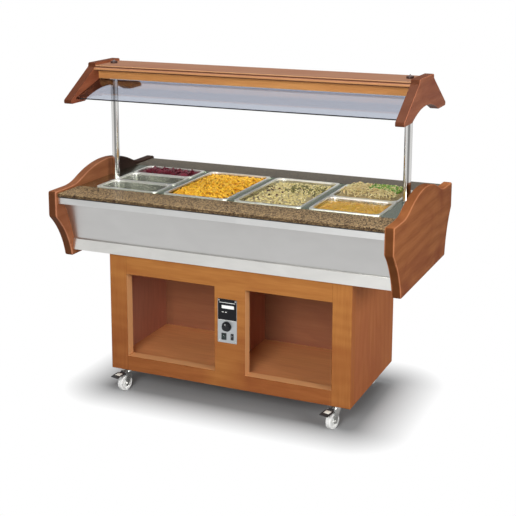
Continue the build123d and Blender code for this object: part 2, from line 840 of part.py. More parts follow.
bottom_top_z = base_z + bottom_thick
bearer_top = niche_floor_z - niche_floor_thick
niche_depth = (-frame_back, niche_back_y)
partition_left = partition_face - partition_thick
floor_pieces = []
for left, right in ((-side_inner, partition_left), (partition_face, side_inner)):
    floor_pieces.append(board((left, right), niche_depth, (bearer_top, niche_floor_z)))
    floor_pieces.append(board((left, left + side_thick), niche_depth, (bottom_top_z, bearer_top)))
    floor_pieces.append(board((right - side_thick, right), niche_depth, (bottom_top_z, bearer_top)))
save(Compound(children=floor_pieces), "niche_floor")
partition_height = (bottom_top_z, base_top_z - top_thick)
save(board((partition_left, partition_face), niche_depth, partition_height), "niche_partition")
save(
    board(
        back_span,
        (niche_back_y, niche_back_y + niche_back_thick),
        (base_z + bottom_thick, base_top_z - top_thick),
    ),
    "niche_back",
)

with BuildPart() as base_top:
    with BuildSketch(Plane.XY.offset(base_top_z)):
        with Locations((0, (back_face - back_thick - frame_back) / 2)):
            Rectangle(2 * side_inner, back_face - back_thick + frame_back)
        with Locations((drain_x, drain_y)):
            Circle(drain_bore / 2 + drain_wall + board_gap, mode=Mode.SUBTRACT)
    extrude(amount=-top_thick)
save(base_top.part, "base_top")

with BuildPart() as back_panel:
    with BuildSketch(front_plane(back_face)):
        with Locations((0, base_z)):
            Rectangle(2 * side_inner, frame_height, align=(Align.CENTER, Align.MIN))
        with Locations((gland_x, gland_z)):
            Circle(gland_body / 2 + shaft_play, mode=Mode.SUBTRACT)
    extrude(amount=back_thick)
save(back_panel.part, "base_back_panel")

# Cable gland: flange outside, body through the panel, nut inside
with BuildPart() as gland:
    with BuildSketch(front_plane(back_face + gland_reach)):
        with Locations((gland_x, gland_z)):
            Circle(gland_body / 2)
    extrude(amount=2 * gland_reach + back_thick)
    with BuildSketch(front_plane(back_face + gland_reach / 2)):
        with Locations((gland_x, gland_z)):
            RegularPolygon(gland_flange / 2, 6)
    extrude(amount=gland_reach / 2)
    with BuildSketch(front_plane(back_face - back_thick)):
        with Locations((gland_x, gland_z)):
            RegularPolygon(gland_flange / 2, 6)
    extrude(amount=gland_reach / 2)
    with BuildSketch(front_plane(back_face + gland_reach)):
        with Locations((gland_x, gland_z)):
            Circle(gland_bore / 2)
    extrude(amount=2 * gland_reach + back_thick, mode=Mode.SUBTRACT)
save(gland.part, "cable_gland")


# Control panel: plate, blank label, thermostat and two rocker switches
switches = {
    "main_switch_rocker": (main_switch, main_switch_place),
    "lamp_switch_rocker": (lamp_switch, lamp_switch_place),
}
screw_places = [
    (plate_x + sx * (plate_width / 2 - screw_inset), plate_bottom_z + plate_height / 2 + sz * span)
    for sx in (-1, 1)
    for sz, span in ((-1, plate_height / 2 - screw_inset), (1, plate_height / 2 - screw_inset))
]

with BuildPart() as control_plate:
    with BuildSketch(front_plane(-base_front)):
        with Locations((plate_x, plate_bottom_z + plate_height / 2)):
            RectangleRounded(plate_width, plate_height, plate_corner)
        for size, place in switches.values():
            with Locations(place):
                Rectangle(
                    size[0] - 2 * bezel_thick + board_gap,
                    size[1] - 2 * bezel_thick + board_gap,
                    mode=Mode.SUBTRACT,
                )
        with Locations((knob_x, knob_z)):
            Circle(spindle, mode=Mode.SUBTRACT)
    extrude(amount=plate_thick)
save(control_plate.part, "control_plate")

with BuildPart() as control_label:
    with BuildSketch(front_plane(-plate_face)):
        with Locations((plate_x, plate_top_z)):
            Rectangle(
                plate_width - plate_corner, label_height - plate_corner, align=(Align.CENTER, Align.MAX)
            )
        with Locations(screw_places):
            Circle(screw_head / 2 + board_gap, mode=Mode.SUBTRACT)
    extrude(amount=label_thick)
save(control_label.part, "control_label")

with BuildPart() as control_screws:
    with BuildSketch(front_plane(-plate_face)):
        with Locations(screw_places):
            Circle(screw_head / 2)
    extrude(amount=plate_thick)
    heads = control_screws.faces().filter_by(Axis.Y).sort_by(Axis.Y)[0:4]
    fillet(heads.edges(), plate_thick / 2)
save(control_screws.part, "control_screws")

with BuildPart() as thermostat:
    with BuildSketch(front_plane(-base_front)):
        with Locations((knob_x, knob_z)):
            RectangleRounded(thermostat_side, thermostat_side, plate_corner)
    extrude(amount=-thermostat_depth)
    with BuildSketch(front_plane(-base_front)):
        with Locations((knob_x, knob_z)):
            Circle(spindle - board_gap)
    extrude(amount=plate_thick)
    with BuildSketch(front_plane(-plate_face)):
        with Locations((knob_x, knob_z)):
            Circle(spindle / 2 + shaft_play)
    extrude(amount=-thermostat_depth / 2, mode=Mode.SUBTRACT)
save(thermostat.part, "thermostat_body")

with BuildPart() as knob:
    skirt = plate_face + knob_gap
    with BuildSketch(front_plane(-skirt)):
        with Locations((knob_x, knob_z)):
            Circle(knob_diameter / 2)
    extrude(amount=knob_depth / 4)
    with BuildSketch(front_plane(-skirt - knob_depth / 4)):
        with Locations((knob_x, knob_z)):
            Circle(knob_diameter * 0.4)
            with PolarLocations(knob_diameter * 0.4, knob_flutes):
                Circle(knob_diameter * 0.03, mode=Mode.SUBTRACT)
    extrude(amount=knob_depth * 0.75, taper=4)
    with BuildSketch(front_plane(-skirt - knob_depth)):
        with Locations((knob_x, knob_z + knob_diameter * 0.2)):
            Rectangle(knob_diameter * 0.05, knob_diameter * 0.28)
    extrude(amount=plate_thick / 4)
    with BuildSketch(front_plane(-skirt)):
        with Locations((knob_x, knob_z)):
            Circle(spindle / 2)
    extrude(amount=-thermostat_depth / 3)
save(knob.part, "thermostat_knob")


def rocker_room(size):
    """A switch's cavity across and along, the swing of its rocker and how deep its pin lies."""
    across = size[0] - 2 * bezel_wall - bezel_thick
    along = size[1] - 2 * bezel_wall - bezel_thick
    swing = along / 2 - rocker_play
    return across, along, swing, swing * math.sin(math.radians(3 * rocker_tilt))


def switch_housing(size, place):
    across, along, swing, pin_depth = rocker_room(size)
    with BuildPart() as housing:
        with BuildSketch(front_plane(-plate_face)):
            with Locations(place):
                RectangleRounded(size[0], size[1], bezel_thick)
        extrude(amount=bezel_thick)
        with BuildSketch(front_plane(-plate_face)):
            with Locations(place):
                Rectangle(size[0] - 2 * bezel_thick, size[1] - 2 * bezel_thick)
        extrude(amount=-switch_depth)
        with BuildSketch(front_plane(-plate_face - bezel_thick)):
            with Locations(place):
                Rectangle(across, along)
        extrude(amount=-(pin_depth + swing + rocker_play), mode=Mode.SUBTRACT)
    return housing.part


save(Compound(children=[switch_housing(*spec) for spec in switches.values()]), "switch_housings")


def rocker(size, place):
    """A rocker tilted about its own pin, with its back rounded about the pin."""
    across, along, swing, pin_depth = rocker_room(size)
    pin_y = -plate_face - bezel_thick + pin_depth
    face_reach = swing * math.cos(math.radians(3 * rocker_tilt))
    tilted = Plane(origin=(place[0], pin_y, place[1]), x_dir=(0, 0, 1), z_dir=(1, 0, 0)).rotated(
        (rocker_tilt, 0, 0)
    )
    with BuildPart() as paddle:
        with BuildSketch(tilted):
            with BuildLine():
                Line((-face_reach, pin_depth), (0, pin_depth * 0.75))
                Line((0, pin_depth * 0.75), (face_reach, pin_depth))
                ThreePointArc((face_reach, pin_depth), (0, -swing), (-face_reach, pin_depth))
            make_face()
        extrude(amount=across / 2 - rocker_play, both=True)
    return paddle.part, pin_y


for name, (size, place) in switches.items():
    paddle, pin_y = rocker(size, place)
    print(name, "pin", place[0], round(pin_y, 3), place[1])
    save(paddle, name)


# Castors: top plate with its race and kingpin, fork, wheel and a brake pedal in front
plate_under = castor_height - castor_plate_thick
race_z = plate_under - race_height
crown_top = race_z - board_gap
crown_z_low = crown_top - 2 * race_height


def at_castor(x, y):
    """A plane at the castor's kingpin whose own X points along the trail."""
    return Plane(origin=(x, y, 0), x_dir=Vector(1, 0, 0).rotate(Axis.Z, castor_heading), z_dir=(0, 0, 1))


def castor_mount(x, y):
    with BuildPart() as mount:
        with BuildSketch(Plane.XY.offset(plate_under) * Location((x, y, 0))):
            RectangleRounded(*castor_plate, 2 * plate_corner)
            with GridLocations(*castor_bolt_pitch, 2, 2):
                Circle(castor_bolt / 2 + board_gap, mode=Mode.SUBTRACT)
        extrude(amount=castor_plate_thick)
        with BuildSketch(Plane.XY.offset(race_z) * Location((x, y, 0))):
            Circle(race_diameter / 2)
        extrude(amount=race_height)
        with BuildSketch(Plane.XY.offset(race_z) * Location((x, y, 0))):
            Circle(kingpin / 2)
        extrude(amount=crown_z_low - board_gap - race_z)
        with BuildSketch(Plane.XY.offset(crown_z_low - board_gap) * Location((x, y, 0))):
            Circle(kingpin_head / 2)
        extrude(amount=-race_height)
    return mount.part


def castor_bolts(x, y):
    with BuildPart() as bolts:
        with BuildSketch(Plane.XY.offset(plate_under) * Location((x, y, 0))):
            with GridLocations(*castor_bolt_pitch, 2, 2):
                RegularPolygon(castor_bolt_head / 2, 6)
        extrude(amount=-castor_bolt_rise)
        with BuildSketch(Plane.XY.offset(plate_under) * Location((x, y, 0))):
            with GridLocations(*castor_bolt_pitch, 2, 2):
                Circle(castor_bolt / 2)
        extrude(amount=castor_plate_thick)
    return bolts.part


def castor_fork(x, y):
    base = at_castor(x, y)
    upright = Plane(origin=base.origin, x_dir=base.x_dir, z_dir=base.x_dir.cross(Vector(0, 0, 1)))
    with BuildPart() as fork:
        with BuildSketch(base.offset(crown_z_low)):
            Circle(race_diameter / 2)
        extrude(amount=2 * race_height)
        with BuildSketch(base.offset(crown_z_low)):
            with Locations((castor_trail / 3, 0)):
                Rectangle(fork_width + castor_trail / 3, fork_gap + 2 * fork_sheet)
        extrude(amount=fork_sheet)
        for side in (-1, 1):
            inner = side * fork_gap / 2
            with BuildSketch(upright.offset(inner)):
                with BuildSketch(mode=Mode.PRIVATE) as leg:
                    with Locations((castor_trail, wheel_radius)):
                        Circle(fork_eye / 2)
                    with Locations((castor_trail / 3, crown_z_low + fork_sheet / 2)):
                        Rectangle(fork_width + castor_trail / 3, fork_sheet)
                    make_hull()
                add(leg.sketch)
            extrude(amount=side * fork_sheet)
        with BuildSketch(base.offset(crown_top)):
            Circle(kingpin / 2 + shaft_play)
        extrude(amount=-3 * race_height, mode=Mode.SUBTRACT)
        reach = fork_gap / 2 + 3 * fork_sheet
        with BuildSketch(upright.offset(-reach)):
            with Locations((castor_trail, wheel_radius)):
                Circle(axle / 2)
        extrude(amount=2 * reach)
        for side in (-1, 1):
            with BuildSketch(upright.offset(side * (fork_gap / 2 + fork_sheet))):
                with Locations((castor_trail, wheel_radius)):
                    RegularPolygon(axle_nut / 2, 6)
            extrude(amount=side * 1.5 * fork_sheet)
    return fork.part


def castor_wheel(x, y):
    base = at_castor(x, y)
    centre = base.from_local_coords((castor_trail, 0, wheel_radius))
    half = Plane(origin=centre, x_dir=(0, 0, 1), z_dir=base.x_dir)
    with BuildPart() as wheel:
        with BuildSketch(half) as section:
            bore = axle / 2 + shaft_play
            with BuildLine():
                Polyline(
                    (bore, -wheel_width / 2),
                    (bore, wheel_width / 2),
                    (wheel_hub / 2, wheel_width / 2),
                    (wheel_hub / 2, wheel_web / 2),
                    (wheel_rim_inner / 2, wheel_web / 2),
                    (wheel_rim_inner / 2, tread_width / 2),
                    (wheel_radius, tread_width / 2),
                    (wheel_radius, -tread_width / 2),
                    (wheel_rim_inner / 2, -tread_width / 2),
                    (wheel_rim_inner / 2, -wheel_web / 2),
                    (wheel_hub / 2, -wheel_web / 2),
                    (wheel_hub / 2, -wheel_width / 2),
                    close=True,
                )
            make_face()
            fillet([v for v in section.vertices() if v.X > wheel_radius - 1], tread_round)
        revolve(axis=Axis(centre, half.y_dir))
    return wheel.part


pedal_pin_out = castor_trail / 3 + (fork_width + castor_trail / 3) / 2
pedal_start = pedal_pin_out + pedal_pin / 2 + pedal_sheet + board_gap
pedal_pin_z = crown_z_low + fork_sheet / 2


def brake_pedal(x, y):
    """A folded lever that hangs from the fork's trailing edge and points at the floor."""
    base = at_castor(x, y)
    upright = Plane(origin=base.origin, x_dir=base.x_dir, z_dir=base.x_dir.cross(Vector(0, 0, 1)))
    with BuildPart() as pedal:
        with BuildSketch(upright.offset(-pedal_width / 2)):
            with Locations((pedal_start, pedal_pin_z)):
                Circle(pedal_pin / 2 + pedal_sheet)
        extrude(amount=pedal_width)
        pad = [(out, pedal_pin_z - drop) for out, drop in (pedal_pad_start, pedal_pad_bend, pedal_tip)]
        lever = [(pedal_start + pedal_pin / 2, pedal_pin_z), *pad]
        for width, points in ((pedal_width, lever), (pedal_pad_width, pad)):
            with BuildSketch(upright.offset(-width / 2)):
                with BuildLine():
                    Polyline(*points)
                    offset(amount=pedal_sheet, side=Side.LEFT)
                make_face()
            extrude(amount=width)
        with BuildSketch(upright.offset(-pedal_width / 2)):
            with Locations((pedal_start, pedal_pin_z)):
                Circle(pedal_pin / 2 + shaft_play)
        extrude(amount=pedal_width, mode=Mode.SUBTRACT)
    return pedal.part


def pedal_hanger(x, y):
    """The pin and the two ears that carry the pedal on the fork."""
    base = at_castor(x, y)
    upright = Plane(origin=base.origin, x_dir=base.x_dir, z_dir=base.x_dir.cross(Vector(0, 0, 1)))
    with BuildPart() as hanger:
        for side in (-1, 1):
            with BuildSketch(upright.offset(side * (pedal_width / 2 + board_gap))):
                with BuildSketch(mode=Mode.PRIVATE) as ear:
                    with Locations((pedal_start, pedal_pin_z)):
                        Circle(pedal_pin)
                    with Locations((pedal_pin_out - pedal_pin, pedal_pin_z)):
                        Circle(pedal_pin / 2)
                    make_hull()
                add(ear.sketch)
            extrude(amount=side * fork_sheet)
        with BuildSketch(upright.offset(-pedal_width / 2 - board_gap)):
            with Locations((pedal_start, pedal_pin_z)):
                Circle(pedal_pin / 2)
        extrude(amount=pedal_width + 2 * board_gap)
    return hanger.part


save(Compound(children=[castor_mount(*place) for place in castor_places.values()]), "castor_plates")
save(Compound(children=[castor_bolts(*place) for place in castor_places.values()]), "castor_bolts")
for name, place in castor_places.items():
    fork_part = castor_fork(*place)
    if name.startswith("front"):
        fork_part = fork_part + pedal_hanger(*place)
        save(brake_pedal(*place), f"brake_pedal_{name}")
    save(fork_part, f"castor_fork_{name}")
    save(castor_wheel(*place), f"castor_wheel_{name}")
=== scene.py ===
import logging
import math
import random
from dataclasses import dataclass
from enum import Enum
from typing import Callable

import bmesh
import bpy
from mathutils import Matrix, Vector


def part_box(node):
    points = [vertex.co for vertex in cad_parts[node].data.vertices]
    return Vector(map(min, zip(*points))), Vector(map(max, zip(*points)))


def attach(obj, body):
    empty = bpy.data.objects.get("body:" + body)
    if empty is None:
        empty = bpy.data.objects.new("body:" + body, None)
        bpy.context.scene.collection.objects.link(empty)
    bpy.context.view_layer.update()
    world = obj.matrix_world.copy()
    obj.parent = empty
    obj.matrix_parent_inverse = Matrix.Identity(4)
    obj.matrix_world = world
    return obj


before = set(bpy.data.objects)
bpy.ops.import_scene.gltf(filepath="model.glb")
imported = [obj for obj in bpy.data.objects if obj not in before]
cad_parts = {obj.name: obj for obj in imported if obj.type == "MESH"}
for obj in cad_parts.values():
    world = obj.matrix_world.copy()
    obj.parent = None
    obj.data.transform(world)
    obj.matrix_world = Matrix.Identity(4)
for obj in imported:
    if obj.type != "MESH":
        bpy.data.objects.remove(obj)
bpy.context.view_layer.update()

MM = 0.001
FAR = 9.0  # metres: past every point of the counter
ORIGIN = (0.0, 0.0, 0.0)
UP = Vector((0, 0, 1))
DOWN = Vector((0, 0, -1))
LOG = logging.getLogger("buffet_counter")

Triple = tuple[float, float, float]
Socket = bpy.types.NodeSocket
Piece = bpy.types.Object
Material = bpy.types.Material


class Grain(Enum):
    """The way that the fibres of a board run."""

    ALONG = (1.0, 14.0, 14.0)
    DEEP = (14.0, 1.0, 14.0)
    UPRIGHT = (14.0, 14.0, 1.0)

    def loose(self, least: float, share: float) -> Triple:
        """Factors along the axes for a pattern that is stretched less than the fibres."""
        return tuple(least + share * part for part in self.value)


class Brushing(Enum):
    """The way that a sheet of metal was brushed."""

    ALONG = (3.0, 260.0, 260.0)
    DEEP = (260.0, 3.0, 260.0)
    NONE = (60.0, 60.0, 60.0)


def shade(colour: Triple, factor: float, lift: float = 0.0) -> Triple:
    """A colour made darker or lighter by a factor and lifted, but not past white."""
    return tuple(min(1.0, factor * part + lift) for part in colour)


class NodeBoard:
    """A node tree with short calls for the nodes that it is built from."""

    def __init__(self, tree: bpy.types.NodeTree) -> None:
        """Empties a tree.

        Args:
            tree: the tree of a material or a world.
        """
        self.tree = tree
        self.tree.nodes.clear()

    def add(self, kind: str, *values: object, **named: object) -> bpy.types.Node:
        """Adds a node and feeds its inputs.

        Args:
            kind: the node's type, without the ShaderNode before it.
            values: what its first inputs get, in order.
            named: what other inputs get, by name with underscores for spaces.

        Returns:
            The node.
        """
        node = self.tree.nodes.new("ShaderNode" + kind)
        for socket, value in zip(node.inputs, values):
            self.feed(socket, value)
        self.fit(node, **named)
        return node

    def fit(self, node: bpy.types.Node, **named: object) -> None:
        """Feeds inputs of a node by name.

        Args:
            node: the node.
            named: a number, colour or socket for each input, by name with underscores for spaces.
        """
        for name, value in named.items():
            self.feed(node.inputs[name.replace("_", " ")], value)

    def feed(self, socket: Socket, value: object) -> None:
        """Links a socket to another, or writes a plain value in it.

        Args:
            socket: the input.
            value: a socket, number, vector or colour.
        """
        if isinstance(value, Socket):
            self.tree.links.new(value, socket)
        elif hasattr(value, "__len__") and len(value) == 3 and socket.type == "RGBA":
            socket.default_value = (*value, 1.0)
        else:
            socket.default_value = value

    def work(self, kind: str, *values: object) -> Socket:
        """Works numbers or sockets together.

        Args:
            kind: Blender's math operation.
            values: the numbers or sockets.

        Returns:
            The value socket.
        """
        node = self.add("Math", *values)
        node.operation = kind
        return node.outputs[0]

    def times(self, *values: object) -> Socket:
        """Multiplies numbers or sockets.

        Args:
            values: one or more of them.

        Returns:
            The value socket.
        """
        result = values[0]
        for value in values[1:]:
            result = self.work("MULTIPLY", result, value)
        return result

    def seen(self) -> tuple[Socket, Socket]:
        """Tells the kinds of rays apart.

        Returns:
            1 for what the camera sees, straight or through glass, and 1 for what a polished face mirrors.
        """
        rays = self.add("LightPath").outputs
        return self.work("MAXIMUM", rays["Is Camera Ray"], rays["Is Transmission Ray"]), rays["Is Glossy Ray"]


class Paint(NodeBoard):
    """A material's nodes, with the patterns that the finishes use."""

    def __init__(self, name: str) -> None:
        """Starts a material with a shader and an output.

        Args:
            name: the material's name.
        """
        self.material = bpy.data.materials.new(name)
        self.material.use_nodes = True
        super().__init__(self.material.node_tree)
        self.output = self.add("OutputMaterial").inputs["Surface"]
        self.shader = self.add("BsdfPrincipled")
        self.feed(self.output, self.shader.outputs["BSDF"])
        self.coords = self.add("TexCoord").outputs["Object"]
        self.colour: object = None

    def set(self, **values: object) -> None:
        """Feeds the colour so far and other inputs of the shader, by name with underscores for spaces."""
        self.fit(self.shader, Base_Color=self.colour, **values)

    def cover(self, other: object, *shares: object, kind: str = "MIX") -> None:
        """Lays another colour over the one so far, with a share that is a product of numbers or sockets."""
        self.colour = self.blend(self.times(*shares), self.colour, other, kind)

    def mapped(self, scale: Triple, shift: Triple = ORIGIN) -> Socket:
        """Object coordinates, stretched by a factor along each axis and shifted, in metres."""
        return self.add("Mapping", Vector=self.coords, Scale=scale, Location=shift).outputs["Vector"]

    def axis(self, name: str) -> Socket:
        """One Object coordinate, X, Y or Z, in metres."""
        return self.add("SeparateXYZ", self.coords).outputs[name]

    def out(self) -> Socket:
        """Distance from the middle of the counter's length, in metres."""
        return self.work("ABSOLUTE", self.axis("X"))

    def normal(self) -> Socket:
        """The way that the surface faces."""
        return self.add("NewGeometry").outputs["Normal"]

    def facing(self, name: str) -> Socket:
        """How squarely a surface faces either way along X, Y or Z, from 0 to 1."""
        return self.work("ABSOLUTE", self.add("SeparateXYZ", self.normal()).outputs[name])

    def noise(self, vector: Socket, scale: float, detail: float = 3.0, rough: float = 0.5,
              bend: float = 0.0) -> Socket:
        """A cloud pattern from 0 to 1, with a number of features to the metre."""
        return self.add("TexNoise", Vector=vector, Scale=scale, Detail=detail, Roughness=rough,
                        Distortion=bend).outputs["Fac"]

    def cells(self, vector: Socket, scale: float) -> Socket:
        """A pattern of grains of chance colours, with a number of them to the metre."""
        return self.add("TexVoronoi", Vector=vector, Scale=scale).outputs["Color"]

    def bands(self, vector: Socket, scale: float, bend: float, axis: str) -> Socket:
        """Bent growth bands from 0 to 1.

        Args:
            vector: where it reads its place.
            scale: bands to the metre.
            bend: distortion.
            axis: X, Y or Z, across the bands.

        Returns:
            The factor socket.
        """
        node = self.add("TexWave", Vector=vector, Scale=scale, Distortion=bend, Detail=2.0, Detail_Scale=0.8)
        node.bands_direction = axis
        return node.outputs["Fac"]

    def ramp(self, factor: Socket, *stops: tuple[float, object]) -> Socket:
        """Colours along a factor.

        Args:
            factor: what chooses the colour.
            stops: pairs of a place from 0 to 1 and a colour or a grey level.

        Returns:
            The colour socket.
        """
        node = self.add("ValToRGB", factor)
        marks = node.color_ramp.elements
        while len(marks) < len(stops):
            marks.new(0.5)
        for mark, (place, colour) in zip(marks, stops):
            mark.position = place
            mark.color = (*colour, 1.0) if hasattr(colour, "__len__") else (colour, colour, colour, 1.0)
        return node.outputs["Color"]

    def blend(self, factor: object, first: object, second: object, kind: str = "MIX") -> Socket:
        """Two colours mixed.

        Args:
            factor: share of the second.
            first: colour or socket.
            second: colour or socket.
            kind: Blender's blend type.

        Returns:
            The colour socket.
        """
        node = self.add("Mix")
        node.data_type = "RGBA"
        node.blend_type = kind
        for place, value in ((0, factor), (6, first), (7, second)):
            self.feed(node.inputs[place], value)
        return node.outputs[2]

    def span(self, value: Socket, low: float, high: float) -> Socket:
        """A pattern from 0 to 1 brought between two levels."""
        return self.add("MapRange", Value=value, To_Min=low, To_Max=high).outputs["Result"]

    def relief(self, height: Socket, depth: float, strength: float = 1.0) -> None:
        """Gives the shader a fine relief from a pattern, with a depth in metres."""
        bump = self.add("Bump", Strength=strength, Distance=depth, Height=height)
        self.fit(self.shader, Normal=bump.outputs["Normal"])


@dataclass(frozen=True)
class Finish:
    """What a surface is made of.

    Attributes:
        name: the material's name.
    """

    name: str

    def make(self) -> Material:
        """Makes the material.

        Returns:
            The material.
        """
        paint = Paint(self.name)
        self.lay(paint)
        return paint.material

    def lay(self, paint: Paint) -> None:
        """Builds the nodes, in each kind of finish in its own way."""
        raise NotImplementedError


@dataclass(frozen=True)
class Timber(Finish):
    """Varnished hardwood with fibres, pores, faint growth bands and darker patches.

    Attributes:
        pale: colour of the light fibres.
        deep: colour of the dark fibres.
        patch: colour of the stained patches.
        grain: the way that the fibres run.
        patch_share: how strong the patches are.
        band_share: how strong the growth bands are.
        rough: roughness of the varnish.
        gloss: strength of its reflections.
        edge_shade: how much painted shade darkens the narrow faces round a side panel.
        top_shade: share of that painted shade that stays where they look up.
        arris: how much a painted highlight lightens the rounded arrises of a side panel.
        stain_from: where a painted shade starts, in metres from the middle to the back.
        stain: colour of that painted shade.
        stile_from: distance from the middle past which the grain stands upright.
        reveal: how much painted light brightens the narrow faces round an opening.
        reveal_tone: colour of that painted light.
        reveal_to: distance from the middle past which a narrow face is an outer face.
        foot: colour that darkens the lowest part, as painted shade.
        foot_span: heights between which that painted shade fades out, in metres.
        inner: a lighter colour, painted light, for what lies between the outer faces of the base, or nothing.
        inner_to: distance from the middle up to which a face lies between them.
        profile: heights over the moulding's foot, in metres, and the colour of its front from there up, as painted
            highlights and shade.
        profile_foot: height of the moulding's foot.
        profile_height: height of the whole moulding.
    """

    pale: Triple
    deep: Triple
    patch: Triple
    grain: Grain = Grain.ALONG
    patch_share: float = 0.5
    band_share: float = 0.16
    rough: float = 0.42
    gloss: float = 0.03
    edge_shade: float = 0.0
    top_shade: float = 0.25
    arris: float = 0.0
    stain_from: float = FAR
    stain: Triple = (0.012, 0.010, 0.010)
    stile_from: float = FAR
    reveal: float = 0.0
    reveal_tone: Triple = (0.85, 0.43, 0.19)
    reveal_to: float = 0.58
    foot: Triple = (1.0, 1.0, 1.0)
    foot_span: tuple[float, float] = (0.15, 0.58)
    inner: Triple | None = None
    inner_to: float = 0.585
    profile: tuple[tuple[float, Triple], ...] = ()
    profile_foot: float = 1.507
    profile_height: float = 0.045

    def lay(self, paint: Paint) -> None:
        """Lays the fibres, patches and pores, and then the tones of the piece, most of them painted light and shade
        on its faces.

        Args:
            paint: the material's nodes.
        """
        stretched = paint.mapped(self.grain.value)
        if self.stile_from < FAR:
            stile = paint.work("GREATER_THAN", paint.out(), self.stile_from)
            stretched = paint.blend(stile, stretched, paint.mapped(Grain.UPRIGHT.value, (0.3, 0.1, 0.7)))
        fibres = paint.noise(stretched, 7.0, 6.0, 0.55, 0.35)
        pores = paint.ramp(paint.noise(stretched, 80.0, 2.0, 0.6), (0.30, 1.0), (0.40, 0.0))
        across = "Y" if self.grain is Grain.UPRIGHT else "Z"
        figure = paint.bands(paint.mapped(self.grain.loose(0.35, 0.05)), 5.0, 7.0, across)
        mixed = paint.work("ADD", paint.times(fibres, 1.0 - self.band_share), paint.times(figure, self.band_share))
        paint.colour = paint.ramp(mixed, (0.25, self.deep), (0.75, self.pale))
        clouds = paint.noise(paint.mapped(self.grain.loose(0.8, 0.08)), 2.6, 4.0, 0.55, 0.9)
        paint.cover(self.patch, paint.ramp(clouds, (0.42, 0.0), (0.68, 1.0)), self.patch_share)
        paint.cover(self.deep, pores, 0.22)
        if self.stile_from < FAR:
            self._joint(paint)
        # Painted light: the faces inside the niches get a lighter tone.
        if self.inner:
            tone = paint.ramp(fibres, (0.3, shade(self.inner, 0.85)), (0.7, self.inner))
            paint.cover(tone, paint.work("LESS_THAN", paint.out(), self.inner_to))
        if self.profile:
            self._moulding(paint)
        if self.reveal:
            self._frame(paint)
        if self.edge_shade:
            self._panel(paint)
        if self.stain_from < FAR:
            self._stain(paint)
        paint.set(Roughness=paint.span(fibres, self.rough + 0.06, self.rough - 0.05), Specular_IOR_Level=self.gloss)
        paint.relief(paint.work("SUBTRACT", fibres, paint.times(pores, 0.5)), 0.00018, 0.5)

    def _joint(self, paint: Paint) -> None:
        """Lays a fine dark line where the stiles meet the rails.

        Args:
            paint: the material's nodes.
        """
        off = paint.work("ABSOLUTE", paint.work("SUBTRACT", paint.out(), self.stile_from))
        paint.cover(shade(self.deep, 0.35), paint.ramp(paint.work("DIVIDE", off, MM), (0.5, 0.55), (1.0, 0.0)))

    def _moulding(self, paint: Paint) -> None:
        """Lays the painted highlights and shade of a moulding's steps and coves, with wood-coloured bands between.

        Args:
            paint: the material's nodes.
        """
        per_metre = 20.0
        # Painted light and shade in bands by height on the moulding's front faces.
        rise = paint.times(paint.work("SUBTRACT", paint.axis("Z"), self.profile_foot), per_metre)
        ends = [low for low, _ in self.profile[1:]] + [self.profile_height]
        stops = [stop for (low, tone), high in zip(self.profile, ends)
                 for stop in ((per_metre * low + 0.01, tone), (per_metre * high - 0.01, tone))]
        upright = paint.ramp(paint.facing("Z"), (0.80, 1.0), (0.92, 0.0))
        paint.cover(paint.ramp(rise, *stops), upright, 0.85)

    def _frame(self, paint: Paint) -> None:
        """Lays painted shade on the front frame's foot, painted light on its faces round the openings, and a lighter
        tone on its narrow faces at the ends.

        Args:
            paint: the material's nodes.
        """
        # Painted shade: darker towards the bottom, less so at the middle post and at the right end.
        low = paint.ramp(paint.axis("Z"), (self.foot_span[0], 1.0), (self.foot_span[1], 0.0))
        off_middle = paint.ramp(paint.out(), (0.05, 0.35), (0.12, 1.0))
        off_right = paint.ramp(paint.axis("X"), (0.50, 1.0), (0.52, 0.45))
        paint.cover(self.foot, low, off_middle, off_right, kind="MULTIPLY")
        # Painted light on the reveals and sills round the openings.
        narrow = paint.ramp(paint.facing("Y"), (0.2, 1.0), (0.6, 0.0))
        paint.cover(self.reveal_tone, narrow, paint.work("LESS_THAN", paint.out(), self.reveal_to), self.reveal)
        paint.cover(shade(self.patch, 1.5), narrow, paint.work("GREATER_THAN", paint.out(), self.reveal_to))

    def _panel(self, paint: Paint) -> None:
        """Lays painted shade on the narrow faces and a painted highlight on the rounded arrises of a side panel.

        Args:
            paint: the material's nodes.
        """
        side = paint.facing("X")
        edge = paint.ramp(side, (0.12, 1.0), (0.40, 0.0))
        top = paint.ramp(paint.facing("Z"), (0.75, 1.0), (0.95, self.top_shade))
        paint.cover(shade(self.deep, 0.30), edge, self.edge_shade, top)
        # Painted highlight along the rounded arrises.
        line = paint.ramp(side, (0.45, 0.0), (0.62, 1.0), (0.76, 1.0), (0.90, 0.0))
        paint.cover(shade(self.pale, 1.5, 0.10), line, self.arris)

    def _stain(self, paint: Paint) -> None:
        """Lays a painted shade on the rear of a panel, apart from its outer face, which looks to -X.

        Args:
            paint: the material's nodes.
        """
        # Painted shade: the rear part of the panel is darkened, apart from faces that look out to -X.
        behind = paint.times(paint.work("SUBTRACT", paint.axis("Y"), self.stain_from), 22.0)
        way = paint.add("SeparateXYZ", paint.normal()).outputs["X"]
        inward = paint.work("GREATER_THAN", way, -0.5)
        paint.cover(self.stain, paint.ramp(behind, (0.0, 0.0), (1.0, 1.0)), inward, 0.93)


